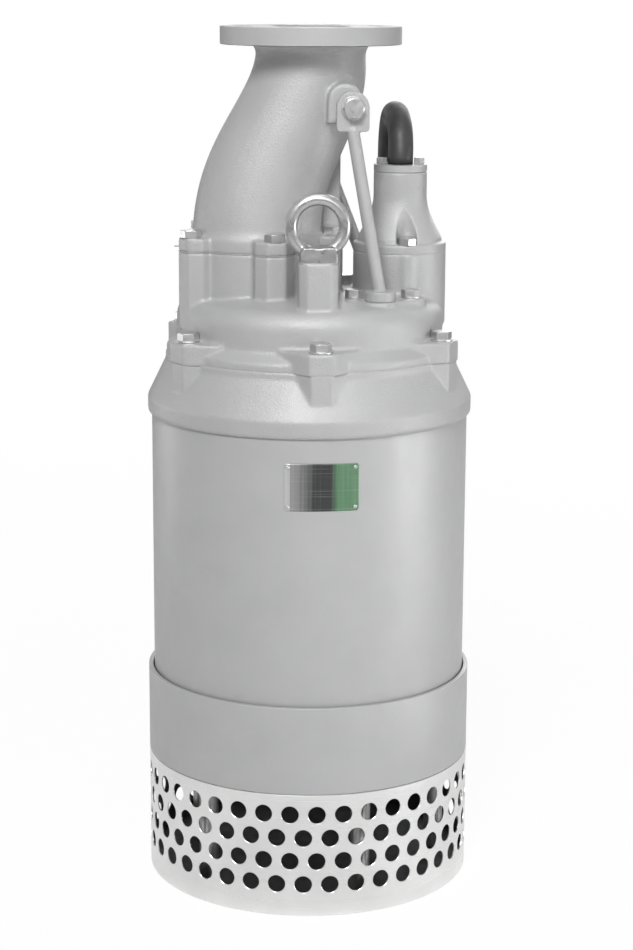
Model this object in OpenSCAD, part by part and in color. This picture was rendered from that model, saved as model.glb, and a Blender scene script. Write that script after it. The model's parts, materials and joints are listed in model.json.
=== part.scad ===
// Submersible drainage pump, 80 mm top discharge, water cooled jacket, vertical on its strainer.
// Origin on the shaft axis at the ground, +Z up, front (nameplate side) towards -Y, cable entry at +X.

/* [Casing] */
// Outer radius of the casing tube
casing_r = 165; // [158:1:175]
// Wall of the casing tube
casing_wall = 4; // [3:0.5:6]
// Length of the casing tube
casing_len = 370; // [360:5:460]
// Height of the cone casing from its rim to the joint
cone_h = 63; // [58:1:72]
// How much smaller in radius the cone is at the joint than the tube
cone_step = 15; // [13:0.5:17]
// How far the cone's rim stands proud of the tube
rim_out = 4; // [3:0.5:6]
// Height of the upright rim of the cone
rim_h = 17.5; // [12:0.5:20]
// How far the cone overlaps the tube
cone_overlap = 20; // [15:1:24]

/* [Sleeve and strainer] */
// Gap between the casing tube and the sleeve
sleeve_gap = 1.2; // [1:0.2:4]
// Wall of the sleeve
sleeve_wall = 4.8; // [2:0.2:5]
// Height of the sleeve
sleeve_h = 92; // [70:1:110]
// Height of the strainer
strainer_h = 130; // [126:1:140]
// Wall of the strainer sheet
strainer_wall = 1.5; // [1:0.1:2.5]
// Radius of a strainer hole
hole_r = 9; // [7:0.5:10]
// Number of holes in one row
hole_cols = 39; // [30:1:40]
// Number of rows of holes
hole_rows = 4; // [2:1:4]
// Height from one row of holes to the next
row_pitch = 25; // [22:0.5:25]
// Height of the lowest row of holes
row_z = 33.9; // [28:0.1:36]
// Thickness of the base plate
base_t = 6; // [5:0.5:10]
// Number of stay bars between the base plate and the suction cover
bar_count = 5; // [3:1:6]
// Radius of a stay bar
bar_r = 10; // [8:0.5:11]
// Distance of the stay bars from the shaft axis
bar_pcr = 138; // [125:1:140]

/* [Pump end] */
// Thickness of the suction cover plate
suction_t = 16; // [14:1:20]
// Radius of the suction mouth
mouth_r = 50; // [42:1:56]
// Outer radius of the impeller
impeller_r = 87; // [80:1:90]
// Height of the impeller vanes
vane_h = 22; // [18:1:24]
// Thickness of the impeller vanes
vane_t = 5; // [4:0.5:7]
// Number of impeller vanes
vane_count = 6; // [4:1:7]
// Number of guide vanes in the pump casing
guide_count = 7; // [5:1:9]
// Height of the pump casing
diffuser_h = 94; // [90:1:104]
// Height of the oil casing above the pump casing
oil_h = 56; // [50:1:66]

/* [Motor] */
// Outer radius of the motor frame
frame_r = 118; // [114:1:119]
// Wall of the motor frame
frame_wall = 12; // [10:0.5:14]
// Length of the motor frame that the stator and rotor cores leave for bearings and end turns
core_room = 113; // [108:1:143]
// Outer radius of the rotor core
rotor_r = 61.5; // [55:0.5:64]
// Air gap between rotor and stator
air_gap = 0.5; // [0.4:0.1:1]
// Shaft radius in the rotor core
shaft_r = 24; // [22:0.5:25]
// Number of cooling fins on the motor frame
fin_count = 12; // [6:2:18]
// Radius of the balls of the lower bearing
low_ball_r = 7.5; // [6.5:0.25:8]
// Radius of the balls of the upper bearing
up_ball_r = 6.1; // [5.5:0.1:6.5]

/* [Head cover] */
// Height of the lugs above the joint
lug_h = 21; // [17:1:24]
// Reach of a lug beyond the cone's joint radius
lug_out = 12; // [11:0.5:15]
// Half width of a lug's front face
lug_half = 12; // [11.5:0.5:16]
// Height of the head cover's flat top above the joint
head_h = 63; // [60:1:70]
// Thickness of the head cover's roof
roof_t = 16; // [15:1:20]
// Height of the discharge neck above the joint
neck_h = 107.5; // [100:0.5:118]
// Height of the lifting eye bosses above the joint
eye_boss_h = 104.5; // [98:0.5:112]
// Width of a lifting eye boss
eye_boss_w = 39.5; // [36:0.5:42]
// Distance of the lifting eyes from the shaft axis
eye_y = 105; // [102:1:108]
// Distance of the cable entry from the shaft axis
gland_x = 93; // [91:0.5:95]
// Outer radius of the terminal housing
housing_r = 48; // [46:0.5:50]
// Height of the terminal housing above the joint
housing_h = 104.5; // [98:0.5:112]

/* [Discharge elbow] */
// Sideways offset of the elbow between its base and its flange
elbow_shift = 54.7; // [50:0.1:58]
// Height of the elbow from the neck to the flange face
elbow_h = 224.5; // [215:0.5:250]
// Radius of the elbow body above its base
elbow_base_r = 67; // [64:0.5:69]
// Radius of the elbow body under its flange
elbow_top_r = 56; // [52:0.5:58]
// Radius of the water way at the elbow's base
way_base_r = 57; // [52:0.5:58]
// Radius of the discharge bore
bore_r = 40; // [36:0.5:44]
// Radius of the round part of the base flange
base_flange_r = 70; // [69:0.5:72]
// Thickness of the base flange
base_flange_t = 13.5; // [12:0.5:18]
// Distance of the base bolts from the elbow's base axis
base_pcr = 78.5; // [77.5:0.5:79.5]
// Outer radius of the discharge flange
flange_r = 92.5; // [90:0.5:100]
// Thickness of the discharge flange
flange_t = 18; // [16:0.5:22]
// Bolt circle diameter of the discharge flange
flange_pcd = 150; // [146:1:156]
// Number of bolt holes in the discharge flange
flange_holes = 8; // [4:4:8]
// Radius of a bolt hole in the discharge flange
flange_hole_r = 9.5; // [8:0.5:11]

/* [Stays] */
// Distance of the front stay's top bolt along X
stay_x = 36.6; // [34:0.2:39]
// Distance of the rear stay's top bolt along X
rear_stay_x = 8; // [6:0.2:12]
// Distance of the stay eye plates from the pump's middle plane
stay_y = 71; // [69:0.5:73]
// Height of the front stay bolt below the flange face
stay_drop = 78; // [74:0.5:84]
// Radius of a stay rod
rod_r = 6.5; // [5.5:0.5:7]
// Radius of a stay foot
foot_r = 15.5; // [13:0.5:16]
// Thickness of a stay eye plate
eye_plate_t = 10; // [8:0.5:12]

/* [Cable entry] */
// Radius of the gland cap's base
cap_base_r = 48; // [46:0.5:50]
// Thickness of the gland cap's base
cap_base_t = 9.5; // [8:0.5:12]
// Height of the gland cap
cap_h = 81.5; // [78:0.5:90]
// Radius of the gland cap's neck
cap_neck_r = 27.4; // [26.8:0.1:28.6]
// Thickness of the clamp ring on the gland cap
clamp_t = 7; // [5:0.5:9]
// Radius of the power cable
cable_r = 13; // [12:0.1:13]

/* [Lifting eyes] */
// Radius of the eye's opening
eye_hole_r = 20.5; // [18:0.5:21]
// Radius of the eye's wire
eye_wire_r = 6.25; // [5.5:0.25:7]
// Height of the eye's foot block
eye_foot_h = 15.5; // [14:0.5:18]

/* [Nameplate] */
// Width of the nameplate
plate_w = 75; // [60:1:90]
// Height of the nameplate
plate_h = 48; // [40:1:60]
// Thickness of the nameplate
plate_t = 0.8; // [0.5:0.1:1.5]
// Height of the nameplate's middle below the cone's rim
plate_drop = 47.6; // [40:0.2:70]

/* [Fasteners] */
// Shank radius of the large bolts
m12_r = 6; // [5:0.5:6]
// Width across flats of the large bolts
m12_af = 19; // [17:0.5:19]
// Head height of the large bolts
m12_head = 8; // [7:0.5:10]
// Shank radius of the gland and suction cover bolts
m10_r = 5; // [4:0.5:5]
// Width across flats of the gland and suction cover bolts
m10_af = 17; // [15:0.5:17]
// Head height of the gland and suction cover bolts
m10_head = 7; // [5:0.5:7]
// Shank radius of the small bolts
m8_r = 4; // [3:0.5:4]
// Width across flats of the small bolts
m8_af = 13; // [11:0.5:13]
// Head height of the small bolts
m8_head = 6; // [4:0.5:6]
// Shank radius of the clamp bolts
m6_r = 3; // [2.5:0.25:3]
// Width across flats of the clamp bolts
m6_af = 10; // [8:0.5:10]
// Head height of the clamp bolts
m6_head = 6.5; // [4:0.5:7]
// Radial clearance of a bolt in its thread or a spigot in its seat
fit = 0.05; // [0.02:0.01:0.1]
// Radial clearance of a bolt in a through hole
bolt_gap = 0.5; // [0.3:0.1:1]

/* [Hidden] */
$fn = 72;
over = 1;

// Levels, from the ground up
z_suct = strainer_h;
z_case = z_suct + suction_t;
z_oil = z_case + diffuser_h;
z_frame = z_oil + oil_h;
z_tube = z_case + casing_len;
z_rim = z_tube - cone_overlap;
z_joint = z_rim + cone_h;
z_lug = z_joint + lug_h;
z_pad = z_joint + head_h;
z_eye = z_joint + eye_boss_h;
z_cap = z_joint + housing_h;
z_seam = z_joint + neck_h;
z_chamber = z_pad - 10;
z_top = z_seam + elbow_h;

// Sleeve and strainer
strainer_r = casing_r + sleeve_gap + sleeve_wall;
strainer_in = strainer_r - strainer_wall;
spigot_h = 10;
spigot_wall = 9;
row_turn = -91.15;
bar_turn = -143;
bar_screw_h = 4;

// Casing and cone
tube_in = casing_r - casing_wall;
joint_r = casing_r - cone_step;
rim_r = casing_r + rim_out;
band_h = 6.5;
rim_round = 4;
joint_wall = 18;
joint_in = joint_r - joint_wall;
joint_in_h = 22;
lug_r = joint_r + lug_out;
lug_bolt_r = lug_r - 14;
lug_count = 6;
lug_flare = 31.5;
lug_root = 90;
lug_inset = 1.5;
lug_thread = 20;
ring_wire = 2;
o_ring_r = joint_in + 5.5;

// Pump end
impeller_gap = 1;
z_vane = z_case + impeller_gap;
z_shroud = z_vane + vane_h;
shroud_t = 7;
hub_r = 22;
hub_bottom = z_case + 12;
hub_top = z_case + 50;
nut_h = 10;
nut_af = 30;
key_z = hub_bottom + 6;
key_len = 24;
key_w = 5;
key_h = 3;
thread_r = 10;
end_r = 14;
seal_r = 17.5;
vane_arc = 46.8;
vane_in_r = 28;
vane_in_a = 70;
guide_arc = 70;
guide_in_r = impeller_r + 8;
guide_out_r = tube_in - 9;
guide_in_a = 62;
guide_t = 6;
guide_h = 42;
floor_t = 12;
floor_in = impeller_r + 5;
bowl_z = z_shroud + shroud_t + 1.5;
bowl_t = 10.5;
stud_flange_r = frame_r + 16;
stud_pcr = frame_r + 8;
stud_flange_t = 12;
stud_count = 6;
stud_nut_h = 8;
suction_bolt_pcr = casing_r - 17;
suction_bolt_count = 2 * bar_count;
suction_turn = bar_turn + 90 / bar_count;

// Oil casing and bearings
tub_r = 100;
tub_wall = 8;
z_tub = z_case + 54;
tub_floor = 10;
seat_out = 26;
seat_z = 10;
ledge_h = 12;
low_bear_in = 20;
low_bear_out = 45;
low_bear_w = 23;
low_bear_z = z_frame + 3;
low_pitch = (low_bear_in + low_bear_out) / 2;
up_bear_in = 15;
up_bear_out = 36;
up_bear_w = 19;
up_plate_t = 12;
up_bear_z = z_joint - up_plate_t - up_bear_w;
up_pitch = (up_bear_in + up_bear_out) / 2;
race_gap = 0.1;
cage_w = 3;
cage_extra = 1.5;
low_balls = 8;
up_balls = 8;

// Motor
frame_in = frame_r - frame_wall;
frame_len = z_joint - z_frame;
stator_len = frame_len - core_room;
z_core = z_frame + 28 + (frame_len - 28 - up_plate_t - up_bear_w - stator_len) / 2 + 2;
end_ring_h = 8;
coil_h = 18;
collar_r = 26;
fin_out = 8;
fin_t = 6;

// Head cover
wall_in = 12;
wall_r = joint_r - wall_in;
lip_h = 8;
lip_slope = 10;
shoulder = 20;
top_r = 100;
head_wall = 9;
cup_r = frame_r + 2;
cup_in = frame_in - 2;
cup_h = 18;
cup_roof = 8;
tower_x = 80;
tower_r = 37;
tower_in = 28;
chamber_r = housing_r - 15;
web_t = 10;
web_h = 21;
eye_chamfer = 8;
gland_turn = -85.7;
gland_pcr = 40;
column_r = 11;
pad_foot = [64.4, 85];
rear_foot = [70, 85];
pad_round = 15.5;
pad_small = [[41, 59], [98, housing_r + pad_round - 1.5]];
pad_deep = 20;
boss_root = 8;
pad_foot_round = foot_r + 2.5;
thread_deep = 20;
small_deep = 12;
small_washer_r = 10;
small_washer_t = 1.5;
spot_gap = 0.6;
spot_h = 14;
head_spot_r = m12_af / 2 / cos(30) + spot_gap / 2;

// Elbow
gasket_t = 1;
boss_out = 88;
boss_in = 76;
boss_half = 9.5;
boss_side = 20;
boss_turn = -8;
boss_count = 5;
z_base = z_seam + gasket_t + base_flange_t;
neck_len = 8;
z_bend_top = z_top - flange_t - neck_len;
elbow_skew = 1.15;
elbow_sides = 40;
elbow_steps = 16;
base_flare = 2.4;
top_flare = 4;
flare_len = 10;
rib_x = 31.5;
rib_y = 6.5;
rib_t = 10;
tab_w = 8;
lug_face = stay_y - eye_plate_t / 2;
ear_r = 17;
ear_left = 24;
ear_right = 12.5;
ear_rise = 7;
ear_drop = 16;
rib_h = 90;

// Stays
stay_top = [stay_x, -stay_y, z_top - stay_drop];
rear_top = [rear_stay_x, stay_y, z_top - stay_drop - 8];
foot_h = 10;
eye_r = 16.5;
eye_drop = 23.5;
washer_r = 12;
washer_t = 2.5;
stay_thread = 25;

// Cable entry
pocket_r = m10_af / 2 / cos(30) + 0.7;
cap_flare_h = 56.5;
cap_flare_r = cap_base_r - 4.5;
grommet_z = 26;
grommet_r = cable_r + 2.5;
clamp_pcr = grommet_r + m6_r + 1;

// Lifting eyes
eye_mid_r = eye_hole_r + eye_wire_r;
eye_foot_w = eye_boss_w - 3;
eye_foot_top = 31;
eye_foot_side = 9;
eye_foot_d = 30;
eye_sink = 6.5;
eye_shank_r = 8;
eye_shank = 26;

// Cable route, from the clamp ring over the cone's rim to the coil behind the pump
coil_x = 28;
coil_y = 370;
coil_mid = 143;
coil_half = 39;
coil_h_all = 93.5;
coil_lift = 2;
tie_t = 1.7;
tie_w = 9;
route = [
    [93, 0, 752], [93, 0, 757], [93.5, 3, 771], [93.5, 10, 785], [93, 23, 795], [92.5, 37, 800],
    [92, 53, 800], [92, 68, 795], [92, 80, 785], [92, 88, 771], [92, 91, 756], [92, 94, 730],
    [92.5, 98, 700], [94, 106, 665], [98, 117, 625], [101, 129, 585], [103, 140, 548],
    [105, 151, 510], [105, 152, 470], [105, 152, 410], [105, 152, 350], [105, 152, 290],
    [105, 152, 230], [105, 152, 170], [105, 152, 115], [107, 156, 82], [113, 166, 55],
    [125, 186, 32], [143, 217, 18], [162, 250, 15], [177, 277, 15]
];

// Colours
paint = "#a9abab";
steel = "#c9c9c6";
dark = "#5a5c5e";
black = "#262626";
zinc = "#d5d6d2";
copper = "#b06f3c";

// Copies the children to each of n even steps round the axis
module around(n, r, start = 0) {
    for (i = [0:n - 1]) rotate(start + i * 360 / n) translate([r, 0, 0]) children();
}

// Cylinder from level z upwards
module cylinder_at(r, z, h) {
    translate([0, 0, z]) cylinder(r = r, h = h);
}

// Round tube standing on the level z
module tube(r_out, r_in, h, z = 0) {
    translate([0, 0, z]) difference() {
        cylinder(r = r_out, h = h);
        translate([0, 0, -over]) cylinder(r = r_in, h = h + 2 * over);
    }
}

// Hexagon with a chamfered top, standing on its seat
module hex_head(af, h) {
    intersection() {
        cylinder(r = af / 2 / cos(30), h = h, $fn = 6);
        cylinder(r1 = af * 0.485 + h * tan(60), r2 = af * 0.485, h = h);
    }
}

// Hexagon bolt, head above its seat and shank below it
module hex_bolt(r, af, head, length) {
    hex_head(af, head);
    translate([0, 0, -length]) cylinder(r = r, h = length + head / 2);
}

// Plain hexagon nut
module hex_nut(af, h, r) {
    difference() {
        cylinder(r = af / 2 / cos(30), h = h, $fn = 6);
        translate([0, 0, -over]) cylinder(r = r, h = h + 2 * over);
    }
}

// Points of an arc
function arc(cx, cy, r, a0, a1, n = 8) =
    [for (i = [0:n]) [cx + r * cos(a0 + (a1 - a0) * i / n), cy + r * sin(a0 + (a1 - a0) * i / n)]];

// Curved blade outline between two radii, bent along one circular arc
module blade(arc_r, r0, r1, a, t) {
    cx = r0 - arc_r * cos(a);
    cy = arc_r * sin(a);
    intersection() {
        translate([cx, cy]) difference() {
            circle(r = arc_r + t / 2);
            circle(r = arc_r - t / 2);
        }
        difference() {
            circle(r = r1);
            circle(r = r0 - 2);
        }
        rotate(atan2(cy, cx)) translate([-2 * r1, -4 * r1]) square(4 * r1);
    }
}

// Sheet cylinder with staggered rows of round holes
module strainer() {
    color(zinc) difference() {
        tube(strainer_r, strainer_in, strainer_h);
        for (row = [0:hole_rows - 1]) {
            turn = row_turn + ((hole_rows - 1 - row) % 2) * 180 / hole_cols;
            around(hole_cols, strainer_in - over, turn)
                translate([0, 0, row_z + row * row_pitch]) rotate([0, 90, 0])
                    cylinder(r = hole_r, h = strainer_wall + 2 * over, $fn = 32);
        }
    }
}

// Round base plate inside the strainer's foot, with countersunk screw holes
module base_plate() {
    color(steel) difference() {
        cylinder(r = strainer_in - fit, h = base_t);
        around(bar_count, bar_pcr, bar_turn) {
            translate([0, 0, -over]) cylinder(r = m10_r + bolt_gap, h = base_t + 2 * over);
            translate([0, 0, -over]) cylinder(r = m10_r + 4.5, h = bar_screw_h + over);
        }
    }
}

// Round bars that carry the base plate under the suction cover
module stay_bars() {
    color(zinc) around(bar_count, bar_pcr, bar_turn) difference() {
        translate([0, 0, base_t]) cylinder(r = bar_r, h = z_suct - base_t);
        translate([0, 0, base_t - over]) cylinder(r = m10_r + fit, h = thread_deep + over);
    }
}

// Flat headed screws from below into the stay bars
module base_screws() {
    color(zinc) around(bar_count, bar_pcr, bar_turn) difference() {
        union() {
            cylinder(r = m10_r + 4, h = bar_screw_h);
            cylinder(r = m10_r, h = base_t + thread_deep - 2);
        }
        translate([0, 0, -over]) cylinder(r = 4, h = 3 + over, $fn = 6);
    }
}

// Suction cover: bell mouth, plate, and the spigot that centres the strainer
module suction_cover() {
    plate_r = strainer_r - sleeve_wall - fit;
    spigot_r = strainer_in - fit;
    color(dark) difference() {
        rotate_extrude() polygon(concat(
            [[mouth_r + 8, z_suct - 12], [mouth_r + 16, z_suct - 12], [mouth_r + 20, z_suct],
             [spigot_r - spigot_wall, z_suct], [spigot_r - spigot_wall, z_suct - spigot_h],
             [spigot_r, z_suct - spigot_h], [spigot_r, z_suct - 1], [plate_r, z_suct - 1],
             [plate_r, z_case], [mouth_r, z_case]],
            arc(mouth_r + 12, z_case - 12, 12, 180, 250)
        ));
        around(suction_bolt_count, suction_bolt_pcr, suction_turn)
            translate([0, 0, z_suct - over]) cylinder(r = m10_r + bolt_gap, h = suction_t + 2 * over);
    }
}

// Bolts that hold the suction cover to the pump casing, heads below
module suction_cover_bolts() {
    color(zinc) around(suction_bolt_count, suction_bolt_pcr, suction_turn)
        translate([0, 0, z_suct]) mirror([0, 0, 1])
            hex_bolt(m10_r, m10_af, m10_head, suction_t + floor_t - 3);
}

// Sleeve round the lower end of the casing, standing on the strainer
module casing_sleeve() {
    color(paint) tube(strainer_r, strainer_r - sleeve_wall, sleeve_h, z_suct);
}

// Outer casing tube, the cooling jacket
module outer_casing() {
    color(paint) tube(casing_r, tube_in, casing_len, z_case);
}

// Plan of one lug with its flared sides
module lug_plan(reach, half, inset = 0) {
    wide = half + lug_flare;
    polygon([
        [lug_root, -wide], [reach - lug_flare, -wide + inset], [reach, -half + inset],
        [reach, half - inset], [reach - lug_flare, wide - inset], [lug_root, wide]
    ]);
}

// Cone casing between the tube and the head cover, with six gusset lugs
module casing_cone() {
    z_cone = z_joint - band_h;
    z_in = z_joint - joint_in_h;
    color(paint) difference() {
        union() {
            rotate_extrude() polygon(concat(
                [[joint_in - 20, z_joint], [joint_r, z_joint], [joint_r, z_cone],
                 [rim_r, z_rim + rim_h]],
                arc(rim_r - rim_round, z_rim + rim_round, rim_round, 0, -90),
                [[joint_in - 20, z_rim]]
            ));
            for (i = [0:lug_count - 1]) rotate(-90 + i * 60)
                translate([0, 0, z_rim + rim_h]) linear_extrude(z_joint - z_rim - rim_h)
                    lug_plan(lug_r - 0.5, lug_half, lug_inset);
        }
        rotate_extrude() polygon([
            [0, z_rim - over], [casing_r + fit, z_rim - over], [casing_r + fit, z_tube],
            [tube_in, z_tube], [tube_in - 4, z_tube + 2], [joint_in, z_in],
            [joint_in, z_joint + over], [0, z_joint + over]
        ]);
        rotate_extrude() translate([o_ring_r, z_joint])
            square([2 * ring_wire + 0.6, 4 * ring_wire + 0.2], center = true);
        around(lug_count, lug_bolt_r, -90)
            translate([0, 0, z_joint - lug_thread]) cylinder(r = m12_r + fit, h = lug_thread + over);
    }
}

// Round sealing ring in the joint between cone and head cover
module casing_o_ring() {
    color(black) rotate_extrude() translate([o_ring_r, z_joint - ring_wire]) circle(r = ring_wire);
}

// Pump casing: floor ring, guide vanes and the bowl above the impeller
module pump_casing() {
    color(dark) difference() {
        union() {
            tube(tube_in - fit, floor_in, floor_t, z_case);
            rotate_extrude() polygon([
                [hub_r + 1, bowl_z], [frame_r - 18, bowl_z], [frame_r, bowl_z + 14],
                [frame_r, z_oil - stud_flange_t], [stud_flange_r, z_oil - stud_flange_t],
                [stud_flange_r, z_oil], [tub_r + fit, z_oil], [tub_r + fit, z_tub - 4],
                [tub_r - 8, bowl_z + bowl_t], [hub_r + 1, bowl_z + bowl_t]
            ]);
            translate([0, 0, z_case + floor_t - over]) linear_extrude(guide_h)
                for (i = [0:guide_count - 1]) rotate(i * 360 / guide_count)
                    blade(guide_arc, guide_in_r, guide_out_r, guide_in_a, guide_t);
        }
        rotate_extrude() polygon([
            [hub_r + 1, bowl_z + bowl_t], [tub_r - 8, bowl_z + bowl_t], [tub_r + fit, z_tub - 4],
            [tub_r + fit, z_oil + over], [0, z_oil + over], [0, bowl_z + bowl_t]
        ]);
        around(suction_bolt_count, suction_bolt_pcr, suction_turn)
            translate([0, 0, z_case - over]) cylinder(r = m10_r + fit, h = floor_t + 2 * over);
        around(stud_count, stud_pcr) translate([0, 0, z_oil - stud_flange_t - over])
            cylinder(r = m8_r + bolt_gap, h = stud_flange_t + 2 * over);
    }
}

// Oil casing with the seal chamber and its clamping flange
module oil_casing() {
    color(dark) difference() {
        rotate_extrude() polygon([
            [seat_out, z_tub], [tub_r, z_tub], [tub_r, z_oil], [stud_flange_r, z_oil],
            [stud_flange_r, z_oil + stud_flange_t], [frame_r, z_oil + stud_flange_t],
            [frame_r, z_frame], [frame_in, z_frame], [frame_in, z_frame - ledge_h],
            [tub_r - tub_wall, z_frame - ledge_h], [tub_r - tub_wall, z_tub + tub_floor],
            [seat_out, z_tub + tub_floor]
        ]);
        around(stud_count, stud_pcr) translate([0, 0, z_oil - over])
            cylinder(r = m8_r + bolt_gap, h = stud_flange_t + 2 * over);
    }
}

// Motor frame with its foot flange and upright cooling fins
module motor_frame() {
    color(dark) difference() {
        union() {
            cylinder_at(frame_r, z_frame, frame_len);
            cylinder_at(stud_flange_r, z_frame, stud_flange_t);
            around(fin_count, 0, 15) translate([frame_in + 2, -fin_t / 2, z_frame])
                cube([frame_wall - 2 + fin_out, fin_t, frame_len - 20]);
        }
        cylinder_at(frame_in, z_frame - over, frame_len + 2 * over);
        around(stud_count, stud_pcr) translate([0, 0, z_frame - over])
            cylinder(r = m8_r + bolt_gap, h = stud_flange_t + 2 * over);
    }
}

// Studs that clamp pump casing, oil casing and motor frame together
module frame_studs() {
    z0 = z_oil - stud_flange_t - stud_nut_h - 3;
    z1 = z_frame + stud_flange_t + stud_nut_h + 3;
    color(zinc) around(stud_count, stud_pcr) cylinder_at(m8_r, z0, z1 - z0);
}

// Nuts on both ends of the frame studs
module frame_stud_nuts() {
    color(zinc) around(stud_count, stud_pcr)
        for (z = [z_oil - stud_flange_t - stud_nut_h, z_frame + stud_flange_t])
            translate([0, 0, z]) rotate(30) hex_nut(m8_af, stud_nut_h, m8_r + fit);
}

// Laminated stator core
module stator_core() {
    color(steel) tube(frame_in - fit, rotor_r + air_gap, stator_len, z_core);
}

// End turns of the stator winding, above and below the core
module stator_windings() {
    mid_r = (frame_in + rotor_r) / 2;
    half = (frame_in - rotor_r) / 2 - 8;
    color(copper) for (z = [z_core - coil_h, z_core + stator_len])
        tube(mid_r + half, mid_r - half, coil_h, z);
}

// Lower bearing housing on the oil casing's ledge
module lower_bearing_housing() {
    z0 = z_frame - ledge_h;
    color(dark) difference() {
        union() {
            cylinder_at(frame_in - fit, z0, ledge_h);
            cylinder_at(low_bear_out + 12, z0, low_bear_z + low_bear_w - z0);
        }
        cylinder_at(low_bear_in + 2, z0 - over, 60);
        cylinder_at(low_bear_out + fit, low_bear_z, low_bear_w + over);
    }
}

// Upper bearing housing that closes the motor frame
module upper_bearing_housing() {
    z0 = z_joint - up_plate_t;
    color(dark) difference() {
        union() {
            cylinder_at(frame_in - fit, z0, up_plate_t);
            cylinder_at(up_bear_out + 10, up_bear_z, up_bear_w + 1);
        }
        cylinder_at(up_bear_in + 2, up_bear_z - over, 60);
        cylinder_at(up_bear_out + fit, up_bear_z - over, up_bear_w + over);
        translate([tower_x, 0, z0 - over]) cylinder(r = 12, h = up_plate_t + 2 * over);
    }
}

// Bearing ring with a ball groove; the groove faces the pitch circle
module race(r_out, r_in, pitch, ball, width, z) {
    color(steel) difference() {
        tube(r_out, r_in, width, z);
        rotate_extrude() translate([pitch, z + width / 2]) circle(r = ball + race_gap);
    }
}

module lower_bearing_outer() {
    race(low_bear_out, low_pitch + 4.5, low_pitch, low_ball_r, low_bear_w, low_bear_z);
}

module upper_bearing_outer() {
    race(up_bear_out, up_pitch + 3.5, up_pitch, up_ball_r, up_bear_w, up_bear_z);
}

module lower_bearing_inner() {
    race(low_pitch - 4.5, low_bear_in, low_pitch, low_ball_r, low_bear_w, low_bear_z);
}

module upper_bearing_inner() {
    race(up_pitch - 3.5, up_bear_in, up_pitch, up_ball_r, up_bear_w, up_bear_z);
}

// Cage ring fused with its balls, one rolling set
module ball_cage(n, pitch, ball, width, z) {
    translate([0, 0, z + width / 2]) {
        color(zinc) around(n, pitch) sphere(r = ball);
        color(copper) tube(pitch + cage_extra, pitch - cage_extra, cage_w, -cage_w / 2);
    }
}

module lower_bearing_cage() {
    ball_cage(low_balls, low_pitch, low_ball_r, low_bear_w, low_bear_z);
}

module upper_bearing_cage() {
    ball_cage(up_balls, up_pitch, up_ball_r, up_bear_w, up_bear_z);
}

// Fixed ring of the mechanical seal, in the oil casing's floor
module seal_seat() {
    color(dark) tube(seat_out - fit, seal_r + 1, seat_z, z_tub);
}

// Turning ring of the mechanical seal with its spring cup, on the shaft
module seal_ring() {
    color(steel) union() {
        tube(seal_r + 6, seal_r, 8, z_tub + seat_z + 0.3);
        tube(seal_r + 9, seal_r, 16, z_tub + seat_z + 8);
    }
}

// Outer form of the head cover's dome
module dome_outside() {
    z_lip = z_joint + lip_h;
    z_wall = z_lip + lip_slope;
    z_arc = z_pad - 4 - shoulder;
    rotate_extrude() polygon(concat(
        [[0, z_joint], [joint_r - 1, z_joint], [joint_r - 1, z_lip],
         [wall_r + 3, z_wall - 3], [wall_r, z_wall]],
        arc(wall_r - shoulder, z_arc, shoulder, 0, 90),
        [[top_r, z_pad], [0, z_pad]]
    ));
}

// Water space inside the dome, less the motor cup, the terminal tower and the webs
module dome_inside() {
    z_roof = z_pad - roof_t;
    inner_r = wall_r - head_wall;
    difference() {
        rotate_extrude() polygon(concat(
            [[0, z_joint - over], [joint_in, z_joint - over], [joint_in, z_joint + 5],
             [inner_r, z_joint + lip_h + lip_slope]],
            arc(inner_r - 14, z_roof - 14, 14, 0, 90),
            [[0, z_roof]]
        ));
        cylinder_at(cup_r, z_joint - 2 * over, cup_h + cup_roof + 2 * over);
        translate([tower_x, 0, z_joint]) cylinder(r = tower_r, h = head_h);
        for (i = [0:lug_count - 1]) rotate(i * 60) translate([cup_r - 10, -web_t / 2, z_joint])
            cube([joint_in - cup_r + 20, web_t, web_h]);
    }
}

// Outline of the elbow's base flange: a disc with five faceted bolt bosses
module base_outline() {
    translate([-elbow_shift, 0]) {
        circle(r = base_flange_r);
        for (i = [0:boss_count - 1]) rotate(boss_turn + i * 360 / boss_count) polygon([
            [50, -boss_side], [boss_in, -boss_side], [boss_out, -boss_half],
            [boss_out, boss_half], [boss_in, boss_side], [50, boss_side]
        ]);
    }
}

// Copies the children to each bolt of the elbow's base
module base_bolts() {
    translate([-elbow_shift, 0, 0]) around(boss_count, base_pcr, boss_turn) children();
}

// Copies the children to both bolts of the gland cap
module gland_bolts() {
    translate([gland_x, 0, 0]) around(2, gland_pcr, gland_turn) children();
}

// Copies the children to both lifting eyes
module at_eyes() {
    for (side = [-1, 1]) translate([0, side * eye_y, 0]) children();
}

// Outline at distance r outside a convex outline given counterclockwise
function swollen(pts, r) = let (n = len(pts)) [
    for (i = [0:n - 1])
        let (a = pts[i] - pts[(i + n - 1) % n], b = pts[(i + 1) % n] - pts[i],
             first = atan2(a[1], a[0]) - 90, turn = atan2(b[1], b[0]) - 90 - first)
        each arc(pts[i][0], pts[i][1], r, first, first + (turn < 0 ? turn + 360 : turn), 6)
];

// Raised seat for the stay foot and the two small bolts beside it
module pad_outline(foot) {
    polygon(swollen([pad_small[0], pad_small[1], foot], pad_round));
    translate(foot) circle(r = pad_foot_round);
}

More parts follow.
